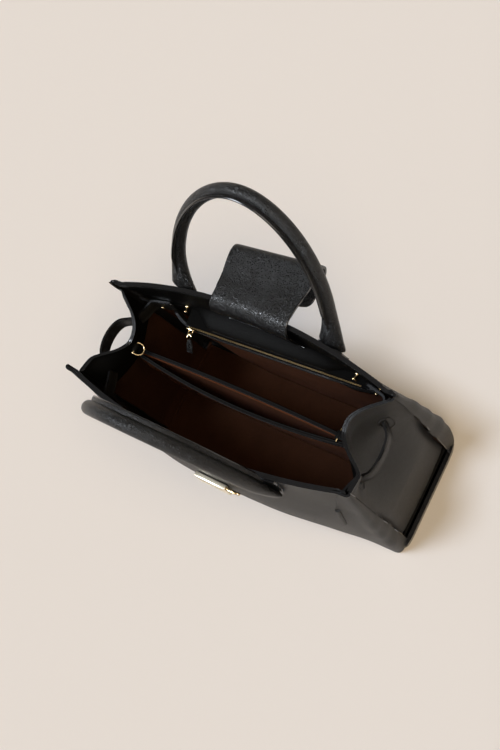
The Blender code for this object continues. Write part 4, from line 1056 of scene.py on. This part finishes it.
def handle_line(share):
    """The handle's centre line in its own plane: across and up."""
    s = 2 * min(share, 1 - share)
    corners = (
        (HANDLE_HALF_SPAN, 0.0),
        (HANDLE_HALF_SPAN + HANDLE_SWELL, HANDLE_HEIGHT * HANDLE_SWELL_AT),
        (HANDLE_SHOULDER, HANDLE_HEIGHT),
        (0.0, HANDLE_HEIGHT),
    )
    weights = ((1 - s) ** 3, 3 * (1 - s) ** 2 * s, 3 * (1 - s) * s**2, s**3)
    across, up = (sum(w * corner[axis] for w, corner in zip(weights, corners)) for axis in (0, 1))
    return (-across if share <= 0.5 else across), up


def handle_section():
    """Pairs of a point on the plain roll and the same point on the roll with its flange."""
    start = math.asin(FLANGE_HALF * 0.75 / HANDLE_RADIUS)
    section = []
    for share in steps(ROUND_POINTS):
        angle = math.pi / 2 + start + share * (math.tau - 2 * start)
        section.append((angle, polar(angle) * HANDLE_RADIUS))
    for high in (0.3, 0.7):
        place = Vector((FLANGE_HALF, mix(HANDLE_RADIUS, FLANGE_CREST, high)))
        section.append((math.pi / 2 - start * (1 - high), place))
    for share in steps(6):
        turn = share * math.pi
        place = Vector((0, FLANGE_CREST)) + polar(turn) * FLANGE_HALF
        section.append((math.pi / 2 - start * 0.5 * math.cos(turn), place))
    for high in (0.7, 0.3):
        place = Vector((-FLANGE_HALF, mix(HANDLE_RADIUS, FLANGE_CREST, high)))
        section.append((math.pi / 2 + start * (1 - high), place))
    return [(polar(angle) * HANDLE_RADIUS, place) for angle, place in section]


def handle_axes(face):
    pivot = hinge_place(f"{FACE_NAME[face]}_handle_hinge")
    lean = HANDLE_LEAN[face]
    up = Vector((0, face * math.sin(lean), math.cos(lean)))
    bag_side = Vector((0, -face * math.cos(lean), math.sin(lean)))
    return pivot, up, bag_side


print("handle roll:", 2 * HANDLE_RADIUS, "m thick")


# %% Handles
def roll_stations(face):
    """Along the roll: centre, outward and bag directions, half width, half thickness, flange."""
    pivot, up, bag_side = handle_axes(face)
    across = Vector((1, 0, 0))
    stations = []
    for share in steps(BODY_STATIONS):
        x, rise = handle_line(share)
        before, after = handle_line(max(share - 0.01, 0.0)), handle_line(min(share + 0.01, 1.0))
        slope = Vector((after[0] - before[0], after[1] - before[1])).normalized()
        outward = across * -slope.y + up * slope.x
        flare = max(1 - rise / HANDLE_FLARE_LENGTH, 0.0)
        wide = mix(HANDLE_RADIUS, HANDLE_FOOT_HALF_WIDTH[face], flare**HANDLE_FLARE_POWER)
        swell = LOBE_SWELL[face] * flare**2
        thick = mix(HANDLE_RADIUS, HANDLE_FOOT_THICKNESS / 2, flare) + swell
        place = pivot + across * (x + HANDLE_SWAY[face] * rise) + up * rise - bag_side * swell
        stations.append((place, outward, bag_side, wide, thick, 1 - ease(flare * FLANGE_START)))
    return stations


def lobe_stations(face, side):
    """Below the roll, a rounded lobe that lies on the wall, from its tip upwards."""
    x, pivot_z = side * HANDLE_HALF_SPAN, handle_axes(face)[0].z
    full = HANDLE_FOOT_THICKNESS / 2 + LOBE_SWELL[face]
    stations = []
    for share in steps(LOBE_STATIONS)[:-1]:
        z = pivot_z - LOBE_LENGTH[face] * (1 - share)
        round_end = math.sqrt(1 - (1 - min(share / LOBE_ROUND_TO, 1.0)) ** 2)
        wide = max(HANDLE_FOOT_HALF_WIDTH[face] * mix(LOBE_TIP_WIDTH, 1.0, share) * round_end, 0.0005)
        thick = max(mix(LOBE_TIP_THICKNESS, full, ease(share)) * round_end**0.5, 0.0004)
        depth = wall_depth(face, x, z, 0.0) + mix(*LOBE_STAND, share) + thick
        directions = Vector((side, 0, 0)), Vector((0, -face, 0))
        stations.append((Vector((x, face * depth, z)), *directions, wide, thick, 0.0))
    return stations


def build_handle(face):
    pairs = handle_section()
    stations = lobe_stations(face, LEFT) + roll_stations(face) + lobe_stations(face, RIGHT)[::-1]
    last = len(stations) - 1
    bm = bmesh.new()
    bmesh.ops.create_grid(bm, x_segments=len(pairs), y_segments=last, size=1.0)
    for vert in bm.verts:
        plain, shaped = pairs[round((vert.co.x + 1) / 2 * len(pairs)) % len(pairs)]
        place, outward, bag_side, wide, thick, flange = stations[round((vert.co.y + 1) / 2 * last)]
        x, y = plain.lerp(shaped, flange)
        vert.co = place + outward * x * wide / HANDLE_RADIUS + bag_side * y * thick / HANDLE_RADIUS
    bmesh.ops.remove_doubles(bm, verts=bm.verts[:], dist=1e-7)
    bmesh.ops.holes_fill(bm, edges=[edge for edge in bm.edges if edge.is_boundary], sides=0)
    pivot, up, bag_side = handle_axes(face)
    for made in bm.faces:
        made.material_index = int((made.calc_center_median() - pivot).dot(bag_side) > FLANGE_CREST)
    name = f"{FACE_NAME[face]}_handle"
    moves = ("bag", name, pivot - up * BLEND_HALF, pivot + up * BLEND_HALF)
    return finish(f"{name}_leather", bm, pebbled, [name], moves, sharp=60)


for face in (FRONT, REAR):
    handle = build_handle(face)
    print(handle.name, len(handle.data.polygons), "faces")

# %% [markdown]
# Under each end of a handle lies a flat tongue of leather, sewn to the wall, with a painted edge.
# The front ones run up to the rim beside the roll, and the rear ones stand out below it.

# %% Tongues under the handles
TONGUE_HALF_WIDTH, TONGUE_WALL = {FRONT: 0.0118, REAR: 0.0165}, 0.0020
TONGUE_TOP, TONGUE_BOTTOM = {FRONT: 0.0245, REAR: -0.004}, {FRONT: -0.0125, REAR: -0.028}
TONGUE_ROUND_TO, TONGUE_TIP_SHARE, TONGUE_TOP_SHARE = 0.4, 0.45, 0.85


def tongue_skin(face, side):
    pivot_z = handle_axes(face)[0].z
    low, top = pivot_z + TONGUE_BOTTOM[face], pivot_z + TONGUE_TOP[face]

    def skin(u, v, depth):
        rounded = math.sqrt(max(1 - (1 - min(v / TONGUE_ROUND_TO, 1.0)) ** 2, 0.0))
        taper = mix(TONGUE_TIP_SHARE, 1.0, rounded) * mix(1.0, TONGUE_TOP_SHARE, v)
        x, z = side * HANDLE_HALF_SPAN + u * TONGUE_HALF_WIDTH[face] * taper, mix(low, top, v)
        return Vector((x, face * (wall_depth(face, x, z, 0.0) + GAP + TONGUE_WALL - depth), z))

    return skin


for face in (FRONT, REAR):
    for side in (LEFT, RIGHT):
        node = f"{FACE_NAME[face]}_{SIDE_NAME[side]}_handle_tab"
        sheet(f"{node}_leather", (24, 20), tongue_skin(face, side), TONGUE_WALL, pebbled, [node])
print("four tongues")

# %% [markdown]
# The front wall has one more detail near its right corner: a short slit with a raised, rolled lip,
# from which a seam runs up to the corner. The slit is not cut, since the wall behind it is closed:
# a dark strip beside the lip is painted shade for its opening.

# %% Slit near the right corner
SLIT_X, SLIT_LEAN, SLIT_LOW, SLIT_HIGH = 0.1430, 0.0035, 0.136, 0.180
LIP_RADIUS, LIP_LIFT, SEAM_RADIUS = 0.0027, 0.0004, 0.0009
SEAM_END_X, SEAM_END_Z, SEAM_CURVE = BASE_HALF_WIDTH - 0.010, 0.232, 1.5
GROOVE_WALL, GROOVE_OFFSET, GROOVE_HALF_WIDTH = 0.0004, 0.0040, 0.0024


def on_front(x, z, lift=0.0):
    return Vector((x, -wall_depth(FRONT, x, z, -lift), z))


def along_slit(share):
    return mix(SLIT_X - SLIT_LEAN, SLIT_X, share), mix(SLIT_LOW, SLIT_HIGH, share)


# The place of the strip of painted shade beside the lip, for the slit's opening.
def groove(u, v, depth):
    x, z = along_slit(v)
    half = GROOVE_HALF_WIDTH * (1 - (2 * v - 1) ** 4)
    return on_front(x + GROOVE_OFFSET + u * half, z, GROOVE_WALL - depth)


lip_line = [on_front(*along_slit(share), LIP_LIFT) for share in steps(16)]
wire("side_slit_lip_leather", lip_line, LIP_RADIUS, body_leather)
seam_line = []
for share in steps(24):
    x, z = mix(SLIT_X, SEAM_END_X, share**SEAM_CURVE), mix(SLIT_HIGH, SEAM_END_Z, share)
    seam_line.append(on_front(x, z))
wire("side_slit_seam_leather", seam_line, SEAM_RADIUS, body_leather)
painted_shade_settings = {"slot": "black_leather", "rounding": 0.1}
# A dark strip of painted shade stands for the slit's opening.
sheet("side_slit_painted_shade", (4, 12), groove, GROOVE_WALL, (black_tape,), **painted_shade_settings)
print("slit, lip and seam")

# %% [markdown]
# ## Closure flap
# The flap is one strip of pebbled leather. It is sewn inside the rear wall, bends over the rim,
# reaches back and curls under at its end. It crosses two joints, and it is made as two sheets that
# meet in its flat middle.

# %% The flap's line
FLAP_HALF_WIDTH, FLAP_WALL, FLAP_SLIT_HEIGHT = 0.046, 0.0026, 0.196
FLAP_REACH, FLAP_CURL_RADIUS, FLAP_TIP_LENGTH, FLAP_TIP_CORNER = 0.0580, 0.0080, 0.034, 0.010
FLAP_TURN_RADIUS, FLAP_RISE, FLAP_SKEW, FLAP_SPREAD, FLAP_WAIST = 0.0135, 0.0022, 0.0042, 0.06, 0.065
FLAP_BULGE, FLAP_WAVE, FLAP_SAG = 0.0052, 0.0006, 0.0016
RISE_ROWS, BEND_ROWS, BACK_ROWS, CURL_ROWS, TIP_ROWS = 20, 14, 24, 14, 18
FLAP_SPLIT = RISE_ROWS + BEND_ROWS + BACK_ROWS // 2
FLAP_ROWS = RISE_ROWS + BEND_ROWS + BACK_ROWS + CURL_ROWS + TIP_ROWS
flap_hinge = hinge_place("flap_fold")


def flap_line(x):
    """The flap's middle surface in a plane of constant x, from its slit to its end."""
    inset = BEHIND_FACING + GAP + FLAP_WALL / 2
    line = []
    turn_z = flap_hinge.z + FLAP_RISE - FLAP_TURN_RADIUS
    for share in steps(RISE_ROWS):
        z = mix(FLAP_SLIT_HEIGHT, turn_z, share)
        bulge = FLAP_BULGE * ease(share) + FLAP_WAVE * arch(share) * math.sin(x * 55)
        line.append((wall_depth(REAR, x, z, inset + bulge), z))
    start_y = line[-1][0] + FLAP_TURN_RADIUS
    end_y = flap_hinge.y + FLAP_REACH + FLAP_SKEW * x / FLAP_HALF_WIDTH
    for share in steps(BEND_ROWS)[1:]:
        across, up = polar(share * math.pi / 2) * FLAP_TURN_RADIUS
        line.append((start_y - across, turn_z + up))
    for share in steps(BACK_ROWS)[1:]:
        sag = FLAP_SAG * arch(share) ** 2
        line.append((mix(start_y, end_y, share), flap_hinge.z + FLAP_RISE * (1 - ease(share)) - sag))
    for share in steps(CURL_ROWS)[1:]:
        up, across = polar(share * math.pi) * FLAP_CURL_RADIUS
        line.append((end_y + across, flap_hinge.z - FLAP_CURL_RADIUS + up))
    for share in steps(TIP_ROWS)[1:]:
        line.append((end_y - share * FLAP_TIP_LENGTH, flap_hinge.z - 2 * FLAP_CURL_RADIUS))
    return line


def flap_point(index, u, depth):
    line = flap_line(u * FLAP_HALF_WIDTH)
    spread = 1 + FLAP_SPREAD * ease((index - RISE_ROWS - BEND_ROWS / 2) / BACK_ROWS)
    back_share = clamp((index - RISE_ROWS) / (BEND_ROWS + BACK_ROWS))
    spread -= FLAP_WAIST * arch(back_share) ** 2
    to_end = (FLAP_ROWS - index) / TIP_ROWS * FLAP_TIP_LENGTH
    if to_end < FLAP_TIP_CORNER:
        cut = 1 - to_end / FLAP_TIP_CORNER
        spread -= FLAP_TIP_CORNER / FLAP_HALF_WIDTH * (1 - math.sqrt(1 - cut * cut))
    before, after = line[max(index - 1, 0)], line[min(index + 1, FLAP_ROWS)]
    slope = Vector((after[0] - before[0], after[1] - before[1])).normalized()
    off = FLAP_WALL / 2 - depth
    y, z = line[index]
    return Vector((u * FLAP_HALF_WIDTH * spread, y - slope.y * off, z + slope.x * off))


print("flap line:", FLAP_ROWS, "rows, split at row", FLAP_SPLIT)

# %% Flap
WELT_RADIUS, WELT_HALF_LENGTH, WELT_HEIGHT, WELT_SEAT = 0.0009, 0.045, 0.1945, 0.8
tip_hinge = hinge_place("flap_end_fold")
rim_bend = (flap_hinge + Vector((0, -0.001, -0.012)), flap_hinge + Vector((0, 0.012, 0.003)))
curl_bend = (tip_hinge + Vector((0, 0, 0.010)), tip_hinge + Vector((0, 0, 0.002)))


def flap_skin(first, last):
    return lambda u, v, depth: flap_point(first + round(v * (last - first)), u, depth)


for name, first, last, nodes, moves, joined in (
    ("root", 0, FLAP_SPLIT, ["flap_root"], ("bag", "flap", *rim_bend), 1.0),
    ("body", FLAP_SPLIT, FLAP_ROWS, ["closure_flap", "flap_tip"], ("flap", "flap_end", *curl_bend), 0.0),
):
    skin, grid = flap_skin(first, last), (40, last - first)
    sheet(f"flap_{name}_leather", grid, skin, FLAP_WALL, pebbled, nodes, moves, joined=joined)
welt = []
for x in steps(40, -WELT_HALF_LENGTH, WELT_HALF_LENGTH):
    depth = wall_depth(REAR, x, WELT_HEIGHT, BEHIND_FACING + GAP + FLAP_WALL * WELT_SEAT)
    welt.append(Vector((x, depth, WELT_HEIGHT)))
wire("flap_slit_welt_paint", welt, WELT_RADIUS, black_paint)
print("flap in two sheets, over its slit")

# %% [markdown]
# ## Lock's bolt and the zip's pull
# The bolt has a rounded sleeve and ends in a small knob. The pull is a wire link with a leather tab.

# %% Bolt and pull
SLEEVE_SIZE, SLEEVE_X, SLEEVE_LIFT, SLEEVE_ROUNDING = (0.0112, 0.0030, 0.0046), 0.0232, 0.0006, 0.0011
dressed_copy("lock_bolt", "gold", polished_gold, 0.0, "bolt")
dressed_copy("zipper_pull_link", "gold", polished_gold, 0.0, "zip_pull")
low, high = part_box("lock_bolt")
middle = Matrix.Translation((SLEEVE_X, (low[1] + high[1]) / 2 - SLEEVE_LIFT, (low[2] + high[2]) / 2))
bm = bmesh.new()
bmesh.ops.create_cube(bm, size=1.0, matrix=middle @ Matrix.Diagonal((*SLEEVE_SIZE, 1.0)))
round_edges(bm, bm.edges[:], SLEEVE_ROUNDING, 4)
finish("lock_bolt_sleeve_gold", bm, (ring_gold,), body="bolt", sharp=40)
dressed_copy("zipper_pull_tab", "leather", pebbled_leather, 0.0005, "zip_pull")
print("bolt and pull")

# %% [markdown]
# ## Thread
# A row of stitches is many small capsules laid along a path, at a steady step. Each is a stretched
# sphere with few faces, since there are hundreds. A row gives the places of the thread and the
# direction out of the leather, and each stitch is sunk halfway into it.

# %% Stitches
STITCH_PITCH, STITCH_LENGTH, STITCH_RADIUS = 0.0034, 0.0023, 0.00028
RIM_MARGIN, RIM_REACH, POCKET_REACH, UPPER_MARGIN, LOWER_MARGIN = 0.0035, 0.96, 0.97, 0.003, 0.0015
stitch_size = Matrix.Diagonal((STITCH_RADIUS, STITCH_RADIUS, STITCH_LENGTH / 2, 1.0))


def sew(name, rows):
    bm = bmesh.new()
    for places, out in rows:
        travelled = 0.0
        for here, there in zip(places, places[1:]):
            step = there - here
            while travelled < step.length:
                along = step.normalized()
                side = Vector((0, out, 0)).cross(along).normalized()
                turn = Matrix((side, along.cross(side), along)).transposed().to_4x4()
                place = Matrix.Translation(here + along * travelled) @ turn @ stitch_size
                bmesh.ops.create_uvsphere(bm, u_segments=6, v_segments=4, radius=1.0, matrix=place)
                travelled += STITCH_PITCH
            travelled -= step.length
    finish(name, bm, (black_thread,), sharp=180)


rows = []
for face in (FRONT, REAR):
    for inset, reach, out in ((0.0, 1.0, face), (BEHIND_FACING, INNER_REACH, -face)):
        t = 1 - RIM_MARGIN / CORNER_HEIGHT
        across = steps(240, -RIM_REACH, RIM_REACH)
        rows.append(([panel_point(face, u * reach, t, inset) for u in across], out))
sew("rim_stitching", rows)
rows = []
across = steps(160, -POCKET_REACH, POCKET_REACH)
for sign, bow in DIVIDER_BOWS.values():
    for z in (DIVIDER_TOP - UPPER_MARGIN, lip + LOWER_MARGIN):
        rows.append(([divider_point(u, z, sign, bow, DIVIDER_BAND_WALL) for u in across], sign))
for z in (BINDING_TOP - UPPER_MARGIN, BINDING_FOOT + LOWER_MARGIN):
    rows.append(([pocket_point(u, z, BINDING_WALL) for u in across], -1))
sew("pocket_stitching", rows)
print("stitching sewn")

# %% [markdown]
# ## Floor and light
# The photograph's floor is even, with one soft shadow to the right. Its edge says where the main
# light is: high, a little to the left and in front, about as wide as a window. The shadow is warm,
# so that light is cool and the rest is warm. The fill comes from the camera's side, so that its
# own shadow stays hidden behind the bag. Suns light the whole floor alike, as lamps would not.
#
# The window and the fill only light the colours. A warm panel and a softbox show only in the
# gloss: the softbox, in front and to the left, draws the bright lines on painted edges and on the
# flap's bend. The floor has no shadow of the flap or the handles, so these don't block the window.

# %% Floor
FLOOR_SIZE, FLOOR_HEIGHT = 12.0, -0.0002
bm = bmesh.new()
bmesh.ops.create_grid(bm, x_segments=1, y_segments=1, size=FLOOR_SIZE / 2)
mesh = bpy.data.meshes.new("floor")
bm.to_mesh(mesh)
bm.free()
floor_paint = Look("floor_paint")
floor_paint.wear(Base_Color=(0.80, 0.722, 0.651), Roughness=0.95, Specular_IOR_Level=0.1)
mesh.materials.append(floor_paint.material)
floor = show(bpy.data.objects.new("floor", mesh))
floor.location.z = FLOOR_HEIGHT
print("floor:", FLOOR_SIZE, "m wide")

# %% Light
STUDIO_LIGHTS = (
    ("window", (-0.19, -0.17, 1.0), 1.91, 13, (0.665, 0.80, 1.0), True, False),
    ("fill", (0.46, -0.12, 0.88), 1.65, 38, (1.0, 0.85, 0.625), True, False),
    ("warm_panel", (0.40, -0.22, 0.88), 1.25, 38, (1.0, 0.89, 0.77), False, True),
    ("softbox", (-0.46, -0.46, 0.76), 4.2, 20, (0.86, 0.92, 1.0), False, True),
)
WORLD_COLOUR, WORLD_STRENGTH = (1.0, 0.92, 0.82, 1.0), 0.12
lamps = {}
for name, towards, power, apparent_width, colour, lights_colour, lights_gloss in STUDIO_LIGHTS:
    lamp = bpy.data.lights.new(name, "SUN")
    lamp.energy = power
    lamp.angle = math.radians(apparent_width)
    lamp.color = colour
    lamps[name] = show(bpy.data.objects.new(name, lamp))
    lamps[name].rotation_euler = Vector(towards).to_track_quat("Z", "Y").to_euler()
    lamps[name].visible_diffuse = lights_colour
    lamps[name].visible_glossy = lights_gloss
thin_parts = bpy.data.collections.new("no_window_shadow")
for name in ("flap_root_leather", "flap_body_leather", "front_handle_leather", "rear_handle_leather"):
    thin_parts.objects.link(bpy.data.objects[name])
lamps["window"].light_linking.blocker_collection = thin_parts
for member in thin_parts.collection_objects:
    member.light_linking.link_state = "EXCLUDE"

world = bpy.data.worlds.new("studio")
world.use_nodes = True
background = world.node_tree.nodes["Background"]
background.inputs["Color"].default_value = WORLD_COLOUR
background.inputs["Strength"].default_value = WORLD_STRENGTH
bpy.context.scene.world = world
bpy.context.scene.view_settings.view_transform = "Standard"
print("light ready:", len(lamps), "suns")
